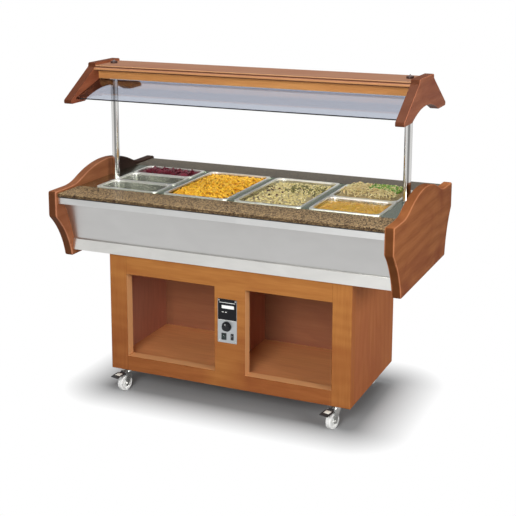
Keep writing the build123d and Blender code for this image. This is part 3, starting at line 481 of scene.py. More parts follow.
@dataclass(frozen=True)
class Granite(Finish):
    """Polished speckled stone.

    Attributes:
        ground: main colour.
        light: colour of the light grains.
        dark: colour of the dark grains.
        rear: colour of the painted shade on the rear strip.
        rear_share: how strong that painted shade is.
    """

    ground: Triple
    light: Triple
    dark: Triple
    rear: Triple = (0.069, 0.066, 0.058)
    rear_share: float = 0.86

    def lay(self, paint: Paint) -> None:
        """Lays two sizes of grains, then painted shade on the steep faces and on the rear strip.

        Args:
            paint: the material's nodes.
        """
        squeezed = paint.mapped((1.0, 0.7, 1.0))
        drift = paint.noise(paint.mapped((1.0, 0.7, 1.2)), 150.0, 3.0, 0.6, 0.2)
        speck = paint.noise(squeezed, 230.0, 2.0, 0.7)
        paint.colour = paint.ramp(paint.blend(0.4, paint.cells(squeezed, 250.0), drift), (0.39, self.dark),
                                  (0.48, self.ground), (0.58, self.light))
        paint.cover(self.dark, paint.ramp(speck, (0.58, 0.0), (0.64, 1.0)), 0.8)
        paint.cover(self.light, paint.ramp(speck, (0.33, 1.0), (0.39, 0.0)), 0.6)
        # Painted shade: steep faces, such as the front edge, take the dark grain colour.
        paint.cover(self.dark, paint.ramp(paint.facing("Z"), (0.3, 0.65), (0.8, 0.0)))
        # Painted shade: the rear strip is darkened and greyed.
        paint.cover(self.rear, paint.ramp(paint.axis("Y"), (0.0, 0.0), (0.3, 1.0)), self.rear_share)
        paint.set(Roughness=paint.span(speck, 0.32, 0.46), Specular_IOR_Level=0.04)
        paint.relief(speck, 0.00008, 0.4)


@dataclass(frozen=True)
class SheetMetal(Finish):
    """Brushed or plain metal with fine lines, smears and small changes of tone.

    Attributes:
        tone: colour of the metal.
        rough: mean roughness.
        brushing: the way of the brushed lines.
        line_depth: depth of the lines, in metres.
        smear: how much the tone changes.
        rim_from: height from which the metal gets a lighter tone, a painted highlight, and is duller, in metres.
        rim_tone: colour of that painted highlight.
    """

    tone: Triple
    rough: float = 0.3
    brushing: Brushing = Brushing.ALONG
    line_depth: float = 0.00003
    smear: float = 0.12
    rim_from: float = FAR
    rim_tone: Triple = (0.80, 0.79, 0.74)

    def lay(self, paint: Paint) -> None:
        """Lays the lines and smears, and then the painted highlight on the rim where there is one.

        Args:
            paint: the material's nodes.
        """
        lines = paint.noise(paint.mapped(self.brushing.value), 6.0, 3.0, 0.65)
        smears = paint.noise(paint.mapped((1.4, 3.0, 3.0)), 3.0, 3.0, 0.5, 0.8)
        paint.colour = self.tone
        paint.cover(shade(self.tone, 1.0 - self.smear), paint.ramp(smears, (0.35, 0.0), (0.7, 1.0)))
        paint.cover(shade(self.tone, 1.0 - 2.0 * self.smear), lines, 0.25)
        rough = paint.work("ADD", paint.span(lines, self.rough - 0.05, self.rough + 0.05),
                           paint.span(smears, -0.03, 0.04))
        if self.rim_from < FAR:
            # Painted highlight: the rims get a lighter tone in place of the bright reflection on them; the added
            # roughness makes them duller.
            rim = paint.work("GREATER_THAN", paint.axis("Z"), self.rim_from)
            paint.cover(self.rim_tone, rim)
            rough = paint.work("ADD", rough, paint.times(rim, 0.16))
        paint.set(Metallic=1.0, Roughness=rough)
        paint.relief(lines, self.line_depth, 0.5)


@dataclass(frozen=True)
class Chrome(Finish):
    """Bright plating with faint waves, dust, and painted reflections: dark stripes by the way the round tube faces.

    Attributes:
        tone: colour of the plating.
        rough: roughness.
        front: the way that the middle stripe of the painted reflection faces.
    """

    tone: Triple = (0.86, 0.85, 0.83)
    rough: float = 0.09
    front: Triple = (0.39, -0.92, 0.0)

    def lay(self, paint: Paint) -> None:
        """Lays the dust over the tone, and the painted reflection stripes by the way that the tube faces.

        Args:
            paint: the material's nodes.
        """
        dust = paint.noise(paint.coords, 120.0, 3.0, 0.6)
        waves = paint.noise(paint.mapped((1.0, 1.0, 0.3)), 14.0, 1.0, 0.4)
        # Painted reflection: dark stripes at the tube's sides and middle, set by the way the surface faces, in place
        # of dark things it mirrors.
        turned = paint.add("VectorMath", paint.normal(), self.front)
        turned.operation = "DOT_PRODUCT"
        reflection_stripes = paint.ramp(paint.work("ABSOLUTE", turned.outputs["Value"]), (0.40, 0.92), (0.58, 0.0),
                             (0.92, 0.05), (0.985, 0.75))
        paint.colour = self.tone
        paint.cover(shade(self.tone, 0.8), dust, 0.15)
        paint.cover(shade(self.tone, 0.12), reflection_stripes)
        paint.set(Metallic=1.0, Roughness=paint.span(dust, self.rough - 0.03, self.rough + 0.07))
        paint.relief(waves, 0.0001, 0.3)


@dataclass(frozen=True)
class Pane(Finish):
    """Tinted glass.

    Attributes:
        tint: colour that the light takes on its way through.
        rough: roughness.
    """

    tint: Triple
    rough: float = 0.02

    def lay(self, paint: Paint) -> None:
        """Lays faint wiping marks over the tint.

        Args:
            paint: the material's nodes.
        """
        wipes = paint.noise(paint.mapped((2.0, 5.0, 5.0)), 6.0, 3.0, 0.5, 0.8)
        paint.colour = self.tint
        paint.cover(shade(self.tint, 0.9), wipes, 0.2)
        paint.set(Roughness=paint.span(wipes, self.rough, self.rough + 0.03), Transmission_Weight=1.0, IOR=1.45)


@dataclass(frozen=True)
class Moulded(Finish):
    """Moulded plastic, rubber or paint with a fine skin.

    Attributes:
        tone: its colour.
        rough: mean roughness.
        skin: features of the skin to the metre.
        skin_depth: depth of the skin, in metres.
        wear: share of the lighter rubbed places.
        gloss: strength of its reflections.
    """

    tone: Triple
    rough: float = 0.4
    skin: float = 900.0
    skin_depth: float = 0.00003
    wear: float = 0.15
    gloss: float = 0.3

    def lay(self, paint: Paint) -> None:
        """Lays the rubbed places and the skin.

        Args:
            paint: the material's nodes.
        """
        rubbed = paint.noise(paint.coords, 30.0, 3.0, 0.6, 0.4)
        paint.colour = self.tone
        paint.cover(shade(self.tone, 1.25, 0.02), paint.ramp(rubbed, (0.45, 0.0), (0.75, 1.0)), self.wear)
        paint.set(Roughness=paint.span(rubbed, self.rough + 0.06, self.rough - 0.08), Specular_IOR_Level=self.gloss)
        paint.relief(paint.noise(paint.coords, self.skin, 2.0, 0.5), self.skin_depth, 0.5)


@dataclass(frozen=True)
class Wool(Finish):
    """Pressed mineral wool, unseen inside the counter.

    Attributes:
        tone: its colour.
    """

    tone: Triple = (0.56, 0.47, 0.26)

    def lay(self, paint: Paint) -> None:
        """Lays coarse tufts.

        Args:
            paint: the material's nodes.
        """
        tufts = paint.noise(paint.mapped((1.0, 1.0, 3.0)), 90.0, 6.0, 0.7, 1.5)
        paint.colour = paint.ramp(tufts, (0.3, shade(self.tone, 0.55)), (0.7, self.tone))
        paint.set(Roughness=0.95)
        paint.relief(tufts, 0.003, 0.8)


@dataclass(frozen=True)
class Edible(Finish):
    """Moist food with changes of colour from place to place.

    Attributes:
        main: usual colour.
        second: colour of the other places.
        third: colour of a few places.
        scale: changes to the metre.
        rough: roughness.
        depth: depth of the relief, in metres.
        scatter: light that spreads inside.
    """

    main: Triple
    second: Triple
    third: Triple
    scale: float = 60.0
    rough: float = 0.35
    depth: float = 0.0006
    scatter: float = 0.0

    def lay(self, paint: Paint) -> None:
        """Lays the three colours and a fine moist grain.

        Args:
            paint: the material's nodes.
        """
        places = paint.noise(paint.coords, self.scale, 3.0, 0.6, 0.3)
        few = paint.noise(paint.mapped((1.0, 1.0, 1.0), (3.1, 1.7, 0.4)), self.scale * 1.7, 2.0, 0.5)
        grain = paint.noise(paint.coords, self.scale * 9.0, 3.0, 0.6)
        paint.colour = paint.ramp(places, (0.38, self.main), (0.62, self.second))
        paint.cover(self.third, paint.ramp(few, (0.60, 0.0), (0.68, 1.0)))
        paint.set(Roughness=paint.span(grain, self.rough - 0.1, self.rough + 0.15), Specular_IOR_Level=0.25,
                  Subsurface_Weight=self.scatter, Subsurface_Scale=0.003)
        paint.relief(grain, self.depth, 0.6)


class Bench:
    """The modelling bench: it starts, shapes and finishes one piece at a time."""

    @staticmethod
    def clear() -> None:
        """Goes to object mode and leaves nothing selected."""
        if bpy.context.mode != "OBJECT":
            bpy.ops.object.mode_set(mode="OBJECT")
        bpy.ops.object.select_all(action="DESELECT")

    @staticmethod
    def take(piece: Piece) -> None:
        """Selects one piece alone.

        Args:
            piece: the piece to work on.
        """
        Bench.clear()
        piece.select_set(True)
        bpy.context.view_layer.objects.active = piece

    @staticmethod
    def block(name: str, size: Triple, place: Triple = ORIGIN) -> Piece:
        """Starts a piece from a block.

        Args:
            name: the piece's name.
            size: its three sizes, in metres.
            place: its middle.

        Returns:
            The piece, with its size in its mesh.
        """
        Bench.clear()
        bpy.ops.mesh.primitive_cube_add(size=1.0, location=place)
        piece = bpy.context.active_object
        piece.name = name
        piece.scale = size
        bpy.ops.object.transform_apply(location=False, rotation=False, scale=True)
        return piece

    @staticmethod
    def rod(name: str, radius: float, length: float, sides: int, place: Triple = ORIGIN,
            turn: Triple = ORIGIN) -> Piece:
        """Starts a piece from a rod.

        Args:
            name: the piece's name.
            radius: its radius, in metres.
            length: its length.
            sides: sides round it.
            place: its middle.
            turn: degrees about each axis.

        Returns:
            The piece, with its place and turn in its mesh.
        """
        Bench.clear()
        bpy.ops.mesh.primitive_cylinder_add(vertices=sides, radius=radius, depth=length, location=place,
                                            rotation=[math.radians(a) for a in turn])
        piece = bpy.context.active_object
        piece.name = name
        return Bench.settle(piece)

    @staticmethod
    def pick(piece: Piece, mode: str, test: Callable[[object], bool] = lambda part: True) -> None:
        """Selects the parts of a piece that pass a test and stays in edit mode.

        Args:
            piece: the piece.
            mode: VERT, EDGE or FACE.
            test: true for the wanted vertices, edges or faces. Without it, all are wanted.
        """
        if bpy.context.mode != "EDIT_MESH":
            Bench.take(piece)
            bpy.ops.object.mode_set(mode="EDIT")
        bpy.ops.mesh.select_mode(type=mode)
        bpy.ops.mesh.select_all(action="DESELECT")
        mesh = bmesh.from_edit_mesh(piece.data)
        for part in {"VERT": mesh.verts, "EDGE": mesh.edges, "FACE": mesh.faces}[mode]:
            if test(part):
                part.select_set(True)
        mesh.select_flush_mode()
        bmesh.update_edit_mesh(piece.data)

    @staticmethod
    def ease(piece: Piece, radius: float, segments: int, along: int | None = None, length: float = 0.0) -> None:
        """Bevels all edges of a piece, or those that run along an axis.

        Args:
            piece: the piece.
            radius: width of the bevel, in metres.
            segments: cuts across it.
            along: number of the axis, or nothing for all edges.
            length: what an edge has to rise along that axis to count.
        """
        Bench.pick(piece, "EDGE", lambda edge: along is None
                   or abs(edge.verts[0].co[along] - edge.verts[1].co[along]) > length)
        bpy.ops.mesh.bevel(offset=radius, segments=segments)

    @staticmethod
    def settle(piece: Piece, angle: float = 40.0) -> Piece:
        """Leaves edit mode, puts the piece's place in its mesh and smooths its faces.

        Args:
            piece: the piece.
            angle: sharpest angle that is shaded smooth, in degrees.

        Returns:
            The piece.
        """
        Bench.take(piece)
        bpy.ops.object.transform_apply(location=True, rotation=True, scale=True)
        bpy.ops.object.shade_smooth_by_angle(angle=math.radians(angle))
        return piece

    @staticmethod
    def apply(piece: Piece, kind: str, **values: object) -> None:
        """Adds a modifier and applies it.

        Args:
            piece: the piece.
            kind: Blender's modifier type.
            values: the modifier's settings.
        """
        Bench.take(piece)
        modifier = piece.modifiers.new(kind.lower(), kind)
        for name, value in values.items():
            setattr(modifier, name, value)
        bpy.ops.object.modifier_apply(modifier=modifier.name)

    @staticmethod
    def copy(piece: Piece, name: str) -> Piece:
        """Copies a piece with a mesh of its own.

        Args:
            piece: what to copy.
            name: the copy's name.

        Returns:
            The copy.
        """
        twin = piece.copy()
        twin.data = piece.data.copy()
        twin.name = name
        bpy.context.scene.collection.objects.link(twin)
        return twin

    @staticmethod
    def gather(pieces: list[Piece], name: str) -> Piece:
        """Joins pieces into one.

        Args:
            pieces: the pieces, of which the first keeps its place.
            name: the new piece's name.

        Returns:
            The joined piece.
        """
        Bench.clear()
        for piece in pieces:
            piece.select_set(True)
        bpy.context.view_layer.objects.active = pieces[0]
        bpy.ops.object.join()
        pieces[0].name = name
        pieces[0].data.name = name
        return pieces[0]

    @staticmethod
    def dress(piece: Piece, material: Material, body: str, slot: str) -> None:
        """Gives a piece its finish and the body that it rides on.

        Args:
            piece: the piece.
            material: its finish.
            body: the CAD body.
            slot: the record's material slot; not used.
        """
        piece.data.materials.clear()
        piece.data.materials.append(material)
        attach(piece, body)
        LOG.info("%s rides on %s", piece.name, body)


def wear(coats: dict[str, Finish]) -> None:
    """Puts finishes on CAD nodes.

    Args:
        coats: a finish for each node's name. Nodes that share one finish name it again.
    """
    made: dict[str, Material] = {}
    for node, finish in coats.items():
        if finish.name not in made:
            made[finish.name] = finish.make()
        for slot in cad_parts[node].material_slots:
            slot.material = made[finish.name]
        LOG.info("%s wears %s", node, finish.name)


@dataclass
class Woodwork:
    """The base cabinet, the end panels and the canopy: every wooden CAD node.

    Attributes:
        stile_from: distance of the front frame's inner stile edges from the middle, in metres.
        stain_from: where the painted shade on the left end panel starts, from the middle to the back.
    """

    stile_from: float = 0.511
    stain_from: float = 0.03

    def dress(self) -> None:
        """Gives each wooden node its own cut of timber."""
        # Side panels and brackets get painted shade on their narrow faces and a painted highlight on their arrises.
        side = dict(grain=Grain.DEEP, patch_share=0.75, band_share=0.3, edge_shade=0.85, arris=0.38)
        raw = ((0.240, 0.095, 0.040), (0.190, 0.070, 0.030), (0.170, 0.055, 0.026))
        wear({
            # The front frame gets painted shade on its foot and painted light on its reveals.
            "base_front_frame": Timber("base_front_timber", (0.400, 0.166, 0.046), (0.300, 0.114, 0.031),
                                       (0.270, 0.088, 0.027), patch_share=0.55, gloss=0.006,
                                       stile_from=self.stile_from, reveal=0.7, foot=(0.76, 0.64, 0.74)),
            # The inner faces of the base sides take a lighter colour: painted light for the niche interiors.
            "base_sides": Timber("base_side_timber", (0.480, 0.168, 0.062), (0.390, 0.128, 0.046),
                                 (0.350, 0.098, 0.040), Grain.UPRIGHT, gloss=0.004, inner=(0.560, 0.235, 0.150)),
            "base_back_panel": Timber("base_back_timber", (0.340, 0.120, 0.040), (0.270, 0.088, 0.029),
                                      (0.240, 0.066, 0.026)),
            "base_bottom": Timber("base_bottom_timber", *raw, rough=0.6),
            "base_top": Timber("base_top_timber", *raw, rough=0.6),
            # The niche floor and partition are much lighter than the front wood: painted light for the niche
            # interiors.
            "niche_floor": Timber("niche_floor_timber", (0.760, 0.330, 0.130), (0.620, 0.255, 0.100),
                                  (0.580, 0.215, 0.092)),
            "niche_partition": Timber("niche_partition_timber", (0.560, 0.235, 0.135), (0.470, 0.185, 0.110),
                                      (0.400, 0.150, 0.095), Grain.UPRIGHT),
            "niche_back": Timber("niche_back_timber", (0.300, 0.122, 0.060), (0.250, 0.096, 0.049),
                                 (0.215, 0.078, 0.045)),
            # The rear of the left end panel's inner face carries a painted shade.
            "end_panel_left": Timber("left_panel_timber", (0.320, 0.120, 0.052), (0.245, 0.084, 0.034),
                                     (0.210, 0.064, 0.030), stain_from=self.stain_from, **side),
            "end_panel_right": Timber("right_panel_timber", (0.360, 0.130, 0.046), (0.260, 0.087, 0.030),
                                      (0.200, 0.052, 0.022), gloss=0.004, **side),
            "canopy_end_left": Timber("left_bracket_timber", (0.300, 0.098, 0.046), (0.215, 0.064, 0.028),
                                      (0.180, 0.044, 0.024), top_shade=0.9, **side),
            "canopy_end_right": Timber("right_bracket_timber", (0.330, 0.112, 0.052), (0.235, 0.072, 0.032),
                                       (0.195, 0.048, 0.026), top_shade=0.9, **side),
            "canopy_top_board": Timber("top_board_timber", (0.290, 0.150, 0.090), (0.225, 0.106, 0.060),
                                       (0.235, 0.092, 0.052),
                                       # The bands: a painted shadow at the foot, a wood band and a darker step, a
                                       # painted shade in the cove, a painted highlight on the ledge.
                                       profile=((0.0, (0.070, 0.024, 0.012)), (0.0052, (0.480, 0.225, 0.095)),
                                                (0.0138, (0.300, 0.115, 0.052)), (0.0160, (0.060, 0.018, 0.010)),
                                                (0.0212, (0.600, 0.330, 0.165)))),
            "canopy_fascias": Timber("light_fascia_timber", (0.520, 0.250, 0.085), (0.420, 0.185, 0.060),
                                     (0.350, 0.125, 0.044), patch_share=0.3),
        })


@dataclass
class Metalwork:
    """The steel hull, the water bath, the stone round it, the posts, the glass and the castors.

    Attributes:
        castor_heading: the way that the castors trail, in radians from +X.
        inset_out: distance of a pedal's light plate from the wheel's middle, in metres.
        inset_size: the plate's length, width and thickness.
        rim_from: height of the pans' rims.
        probe_from: height from which the pedals are probed.
    """

    castor_heading: float = math.radians(255.0)
    inset_out: float = 39 * MM
    inset_size: Triple = (24 * MM, 27 * MM, 1.4 * MM)
    rim_from: float = 0.971
    probe_from: float = 1.0

    def dress(self) -> None:
        """Gives each metal, stone, glass and plastic node its finish."""
        sleek, zinc_lines = 0.000001, 0.00004
        pan_steel = SheetMetal("pan_steel", (0.60, 0.61, 0.56), 0.24, Brushing.NONE, sleek, 0.06, self.rim_from)
        fork_zinc = SheetMetal("fork_zinc", (0.62, 0.62, 0.60), 0.26, Brushing.NONE, zinc_lines, 0.18)
        tyre = Moulded("wheel_nylon", (0.78, 0.78, 0.76), 0.38, 500.0, 0.00005, 0.1)
        brake = Moulded("brake_black", (0.030, 0.030, 0.032), 0.35)
        grey = (0.50, 0.50, 0.50)
        coats = {
            "granite_strips": Granite("speckled_granite", (0.155, 0.090, 0.040), (0.430, 0.300, 0.155),
                                      (0.030, 0.017, 0.011)),
            "fascia_panels": SheetMetal("fascia_steel", (0.60, 0.595, 0.585), 0.30, line_depth=0.00002, smear=0.05),
            "nose_rails": SheetMetal("nose_steel", (0.74, 0.74, 0.73)),
            "lower_rails": SheetMetal("lower_rail_steel", (0.80, 0.79, 0.76)),
            "deck_rails": SheetMetal("deck_rail_steel", grey, 0.40),
            "belly_pan": SheetMetal("belly_steel", grey, 0.42),
            # The green-grey tone of the bath and the divider bars is a painted reflection of the greenish light the
            # steel mirrors.
            "well_tank": SheetMetal("bath_steel", (0.50, 0.57, 0.46), 0.18, Brushing.NONE, sleek, 0.05),
            "divider_bars": SheetMetal("divider_steel", (0.46, 0.54, 0.42), 0.18, Brushing.DEEP),
            "drain_pipe": SheetMetal("drain_steel", (0.60, 0.60, 0.60)),
            "heating_element": SheetMetal("element_steel", (0.34, 0.32, 0.30), 0.45),
            "post_sockets": SheetMetal("socket_steel", grey, 0.40),
            "canopy_posts": Chrome("post_chrome"),
            "post_cap_nuts": Moulded("cap_brown", (0.050, 0.024, 0.020), 0.30),
            # A seal strip, coloured near black so that it also paints the shadow gap under the granite's front edge.
            "granite_seals": Moulded("seal_black", (0.020, 0.017, 0.015), 0.6),
            "cable_gland": Moulded("gland_black", (0.030, 0.030, 0.032)),
            "lamp_batten": Moulded("batten_white", (0.80, 0.80, 0.78), 0.35),
            "castor_plates": fork_zinc,
            "castor_bolts": SheetMetal("bolt_zinc", (0.58, 0.58, 0.55)),
            "well_insulation": Wool("mineral_wool"),
            "lamp_tube": Pane("lamp_glass", (0.93, 0.93, 0.92), 0.25),
            "glass_panes": Pane("smoked_glass", (0.49, 0.525, 0.61)),
        }
        for part, finish in (("_pan_", pan_steel), ("castor_fork", fork_zinc), ("castor_wheel", tyre),
                             ("brake_pedal", brake)):
            coats |= {node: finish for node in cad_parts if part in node}
        wear(coats)
        inset = Moulded("pedal_inset", (0.80, 0.79, 0.72), 0.35).make()
        for side in ("left", "right"):
            Bench.dress(self._pedal_inset(side), inset, "pedal_front_" + side, "white_plastic")

    def _pedal_inset(self, side: str) -> Piece:
        """The light plate on a brake pedal's pad.

        Args:
            side: left or right.

        Returns:
            The piece.
        """
        low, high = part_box("castor_wheel_front_" + side)
        heading = Vector((math.cos(self.castor_heading), math.sin(self.castor_heading), 0.0))
        spot = 0.5 * (low + high) + self.inset_out * heading
        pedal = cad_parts["brake_pedal_front_" + side]
        _, place, normal, _ = pedal.ray_cast(Vector((spot.x, spot.y, self.probe_from)), DOWN)
        thick = self.inset_size[2]
        piece = Bench.block("pedal_inset_front_" + side, self.inset_size)
        Bench.ease(piece, 0.4 * thick, 2)
        Bench.clear()
        across = normal.cross(heading).normalized()
        turn = Matrix((across.cross(normal), across, normal)).transposed().to_4x4()
        piece.data.transform(Matrix.Translation(place + 0.3 * thick * normal) @ turn)
        return Bench.settle(piece)


@dataclass
class ControlPanel:
    """The plate between the niches with its label, knob and switches.

    Attributes:
        line: height of a white line on the label, in metres.
        print_depth: thickness of the print.
        digit: height of the dial's digits.
        tick: width and height of the ticks between them.
        dial_radius: distance of the digits from the knob's middle.
        dial_turn: angle from the first stop to the last, in degrees.
        stops: digits and ticks on the dial.
        pointer: width and length of the line on the knob.
        rocker_bar: width and length of the mark on a rocker.
        mark_depth: thickness of those two marks.
    """

    line: float = 2.2 * MM
    print_depth: float = 0.12 * MM
    digit: float = 4.6 * MM
    tick: tuple[float, float] = (0.7 * MM, 2.6 * MM)
    dial_radius: float = 28.5 * MM
    dial_turn: float = 270.0
    stops: int = 9
    pointer: tuple[float, float] = (1.6 * MM, 9 * MM)
    rocker_bar: tuple[float, float] = (1.2 * MM, 5 * MM)
    mark_depth: float = 0.3 * MM

    def dress(self) -> None:
        """Finishes the CAD nodes and adds the white marks."""
        wear({
            "control_plate": SheetMetal("plate_aluminium", (0.52, 0.54, 0.55), 0.42),
            "control_label": Moulded("label_black", (0.010, 0.010, 0.012), 0.5, gloss=0.1),
            "control_screws": SheetMetal("screw_steel", (0.55, 0.55, 0.55)),
            "thermostat_body": SheetMetal("thermostat_zinc", (0.5, 0.5, 0.48), 0.4),
            "thermostat_knob": Moulded("knob_black", (0.012, 0.012, 0.014), 0.42, gloss=0.2),
            "switch_housings": Moulded("housing_black", (0.022, 0.022, 0.024), 0.34),
            "main_switch_rocker": Moulded("rocker_green_black", (0.020, 0.032, 0.030), 0.26),
            "lamp_switch_rocker": Moulded("lamp_rocker_black", (0.020, 0.020, 0.022), 0.26),
        })
        white = Moulded("print_white", (0.82, 0.82, 0.80), 0.4).make()
        marks = [(self._label(), "counter"), (self._dial(), "counter"), (self._pointer(), "knob")]
        marks += [(self._rocker_mark(body), body) for body in ("main_switch_rocker", "lamp_switch_rocker")]
        for piece, body in marks:
            Bench.dress(piece, white, body, "white_plastic")

    def _mark(self, name: str, size: Triple, place: Triple, corner: float, segments: int = 3) -> Piece:
        """A thin field with rounded corners, upright and facing the front.

        Args:
            name: the piece's name.
            size: width, thickness and height, in metres.
            place: its middle.
            corner: radius of its corners.
            segments: cuts round a corner.

        Returns:
            The piece.
        """
        piece = Bench.block(name, size, place)
        Bench.ease(piece, corner, segments, 1, 0.5 * size[1])
        return Bench.settle(piece)

    def _label(self) -> Piece:
        """The plain lines, the light strip and the dashes of the label.

        Returns:
            All of them as one piece.
        """
        low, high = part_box("control_label")
        middle, width = 0.5 * (low.x + high.x), high.x - low.x
        face = low.y - 0.5 * self.print_depth
        parts = []
        for wide, tall, right, height in (  # sizes, place right of the middle and place over the floor
                (0.86 * width, self.line, 0.0, high.z - 17 * MM),
                (0.98 * width, self.line, 0.0, low.z + 2 * MM),
                (0.66 * width, 15 * MM, 3 * MM, high.z - 37 * MM),
                (9 * MM, 3 * MM, -22 * MM, high.z - 62 * MM),
                (9 * MM, 3 * MM, -6 * MM, high.z - 62 * MM)):
            parts.append(self._mark("label_mark", (wide, self.print_depth, tall), (middle + right, face, height),
                                    0.6 * MM))
        return Bench.gather(parts, "label_print")

    def _digit(self, number: int, place: Vector) -> Piece:
        """One raised digit.

        Args:
            number: what it reads.
            place: its middle.

        Returns:
            The digit as a mesh.
        """
        Bench.clear()
        bpy.ops.object.text_add(location=place, rotation=(math.radians(90), 0, 0))
        text = bpy.context.active_object
        text.data.body = str(number)
        text.data.size = self.digit
        text.data.align_x = "CENTER"
        text.data.align_y = "CENTER"
        text.data.extrude = 0.5 * self.print_depth
        text.data.resolution_u = 3
        bpy.ops.object.convert(target="MESH")
        return Bench.settle(bpy.context.active_object)

    def _tick(self, angle: float, place: Vector) -> Piece:
        """One tick of the dial.

        Args:
            angle: its turn from upright, in radians.
            place: its middle.

        Returns:
            The piece.
        """
        tick = Bench.block("dial_tick", (self.tick[0], self.print_depth, self.tick[1]))
        tick.rotation_euler = (0, angle, 0)
        tick.location = place
        return Bench.settle(tick)

    def _dial(self) -> Piece:
        """The digits and ticks round the knob, some of them on the label.

        Returns:
            All of them as one piece.
        """
        low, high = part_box("thermostat_knob")
        centre = Vector((0.5 * (low.x + high.x), 0.0, 0.5 * (low.z + high.z)))
        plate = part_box("control_plate")[0].y
        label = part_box("control_label")[0]
        parts = []
        for stop in range(self.stops):
            angle = math.radians(self.dial_turn * stop / (self.stops - 1))
            spot = centre + self.dial_radius * Vector((math.sin(angle), 0.0, math.cos(angle)))
            face = label.y if spot.z > label.z - 2 * MM else plate
            spot.y = face - 0.5 * self.print_depth
            parts.append(self._tick(angle, spot) if stop % 2 else self._digit(stop, spot))
        return Bench.gather(parts, "dial_print")

    def _pointer(self) -> Piece:
        """The white line on the knob's face.

        Returns:
            The piece.
        """
        low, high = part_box("thermostat_knob")
        wide, tall = self.pointer
        return self._mark("knob_pointer", (wide, self.mark_depth, tall),
                          (0.5 * (low.x + high.x), low.y - 0.5 * self.mark_depth, high.z - tall), 0.5 * MM)

    def _rocker_mark(self, node: str) -> Piece:
        """The short bar that lies on the upper half of a rocker's face.

        Args:
            node: the rocker's CAD node.

        Returns:
            The piece.
        """
        low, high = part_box(node)
        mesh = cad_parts[node].data
        height = low.z + 0.72 * (high.z - low.z)
        front = min(v.co.y for v in mesh.vertices if abs(v.co.z - height) < 0.3 * (high.z - low.z))
        wide, tall = self.rocker_bar
        return self._mark(node + "_mark", (wide, self.mark_depth, tall), (0.5 * (low.x + high.x), front, height),
                          0.3 * MM, 2)


@dataclass
class Tube:
    """One short tube of pasta, open at both ends.

    Attributes:
        radius: its radius, in metres.
        length: its length.
    """

    radius: float
    length: float

    def model(self) -> Piece:
        """Models the tube.

        Returns:
            The piece, round the origin and along X.
        """
        piece = Bench.rod("pasta_tube", self.radius, self.length, 8, turn=(0, 90, 0))
        Bench.pick(piece, "FACE", lambda face: abs(face.normal.x) > 0.9)
        bpy.ops.mesh.inset(thickness=0.3 * self.radius)
        bpy.ops.mesh.extrude_region_shrink_fatten(TRANSFORM_OT_shrink_fatten={"value": -0.3 * self.length})
        Bench.clear()
        return piece


@dataclass
class Crumb:
    """One small lump with eased corners.

    Attributes:
        size: its length, in metres.
        flat: its height as a share of its length.
    """

    size: float
    flat: float

    def model(self) -> Piece:
        """Models the lump.

        Returns:
            The piece, round the origin.
        """
        piece = Bench.settle(Bench.block("crumb", (self.size, 0.8 * self.size, self.flat * self.size)))
        Bench.ease(piece, 0.16 * self.size * min(1.0, self.flat), 1)
        Bench.clear()
        return piece


@dataclass
class Curl:
    """One bent strip.

    Attributes:
        radius: radius of its bend, in metres.
        thick: radius of the strip.
    """

    radius: float
    thick: float

    def model(self) -> Piece:
        """Spins the strip from a thin disc.

        Returns:
            The piece, round the origin.
        """
        piece = Bench.rod("curl", self.thick, 0.4 * MM, 6, (self.radius, 0, 0), (90, 0, 0))
        Bench.pick(piece, "FACE", lambda face: face.normal.y > 0.9)
        bpy.ops.mesh.spin(steps=9, angle=math.radians(200), center=ORIGIN, axis=(0, 0, 1))
        bpy.ops.mesh.select_all(action="SELECT")
        bpy.ops.mesh.normals_make_consistent(inside=False)
        Bench.clear()
        return piece


@dataclass
class Disc:
    """One round slice with eased edges.

    Attributes:
        radius: its radius, in metres.
        thick: its thickness.
    """

    radius: float
    thick: float

    def model(self) -> Piece:
        """Models the slice.

        Returns:
            The piece, round the origin and lying flat.
        """
        piece = Bench.rod("slice", self.radius, self.thick, 14)
        Bench.pick(piece, "EDGE", lambda edge: abs(edge.verts[0].co.z - edge.verts[1].co.z) < 0.01 * MM)
        bpy.ops.mesh.bevel(offset=0.7 * MM, segments=2)
        Bench.clear()
        return piece


@dataclass
class Topping:
    """Loose bits of one kind on a fill.

    Attributes:
        name: the piece's name.
        bit: what one bit is.
        finish: what the bits are made of.
        count: how many there are.
        over: how far a bit sits above the fill's surface, in metres.
        tilt: greatest tilt, in degrees.
        seed: start of the random places.
        spread: share of the pan that is covered.
        patch: the covered part from left to right and from front to rear, as shares of the half width.
        sizes: least and greatest size of a bit, as shares of its usual size.
    """

    name: str
    bit: Tube | Crumb | Curl | Disc
    finish: Finish
    count: int
    over: float
    tilt: float
    seed: int
    spread: float = 0.94
    patch: tuple[float, float, float, float] = (-1.0, 1.0, -1.0, 1.0)
    sizes: tuple[float, float] = (0.85, 1.1)

    def scatter(self, middle: Vector, half: Vector, ground: Callable[[float, float], tuple[float, Vector]]) -> Piece:
        """Lays copies of the bit over a fill.

        Args:
            middle: middle of the pan's hollow.
            half: half of its size.
            ground: gives the fill's height and normal under a point.

        Returns:
            All copies as one piece.
        """
        chance = random.Random(self.seed)
        bit = self.bit.model()
        copies = []
        for number in range(self.count):
            x = middle.x + half.x * chance.uniform(*self.patch[:2])
            y = middle.y + half.y * chance.uniform(*self.patch[2:])
            height, normal = ground(x, y)
            twin = Bench.copy(bit, f"{self.name}_{number}")
            facing = normal.to_track_quat("Z", "Y").to_matrix().to_4x4()
            lean = Matrix.Rotation(math.radians(chance.uniform(-self.tilt, self.tilt)), 4, "Y")
            roll = Matrix.Rotation(chance.uniform(0, 2 * math.pi), 4, "X")
            spin = Matrix.Rotation(chance.uniform(0, 2 * math.pi), 4, "Z")
            size = chance.uniform(*self.sizes)
            twin.data.transform(Matrix.Translation((x, y, height + self.over)) @ facing @ spin @ lean @ roll
                                @ Matrix.Diagonal((size, size, size, 1.0)))
            copies.append(twin)
        bpy.data.objects.remove(bit)
        return Bench.settle(Bench.gather(copies, self.name), 60.0)


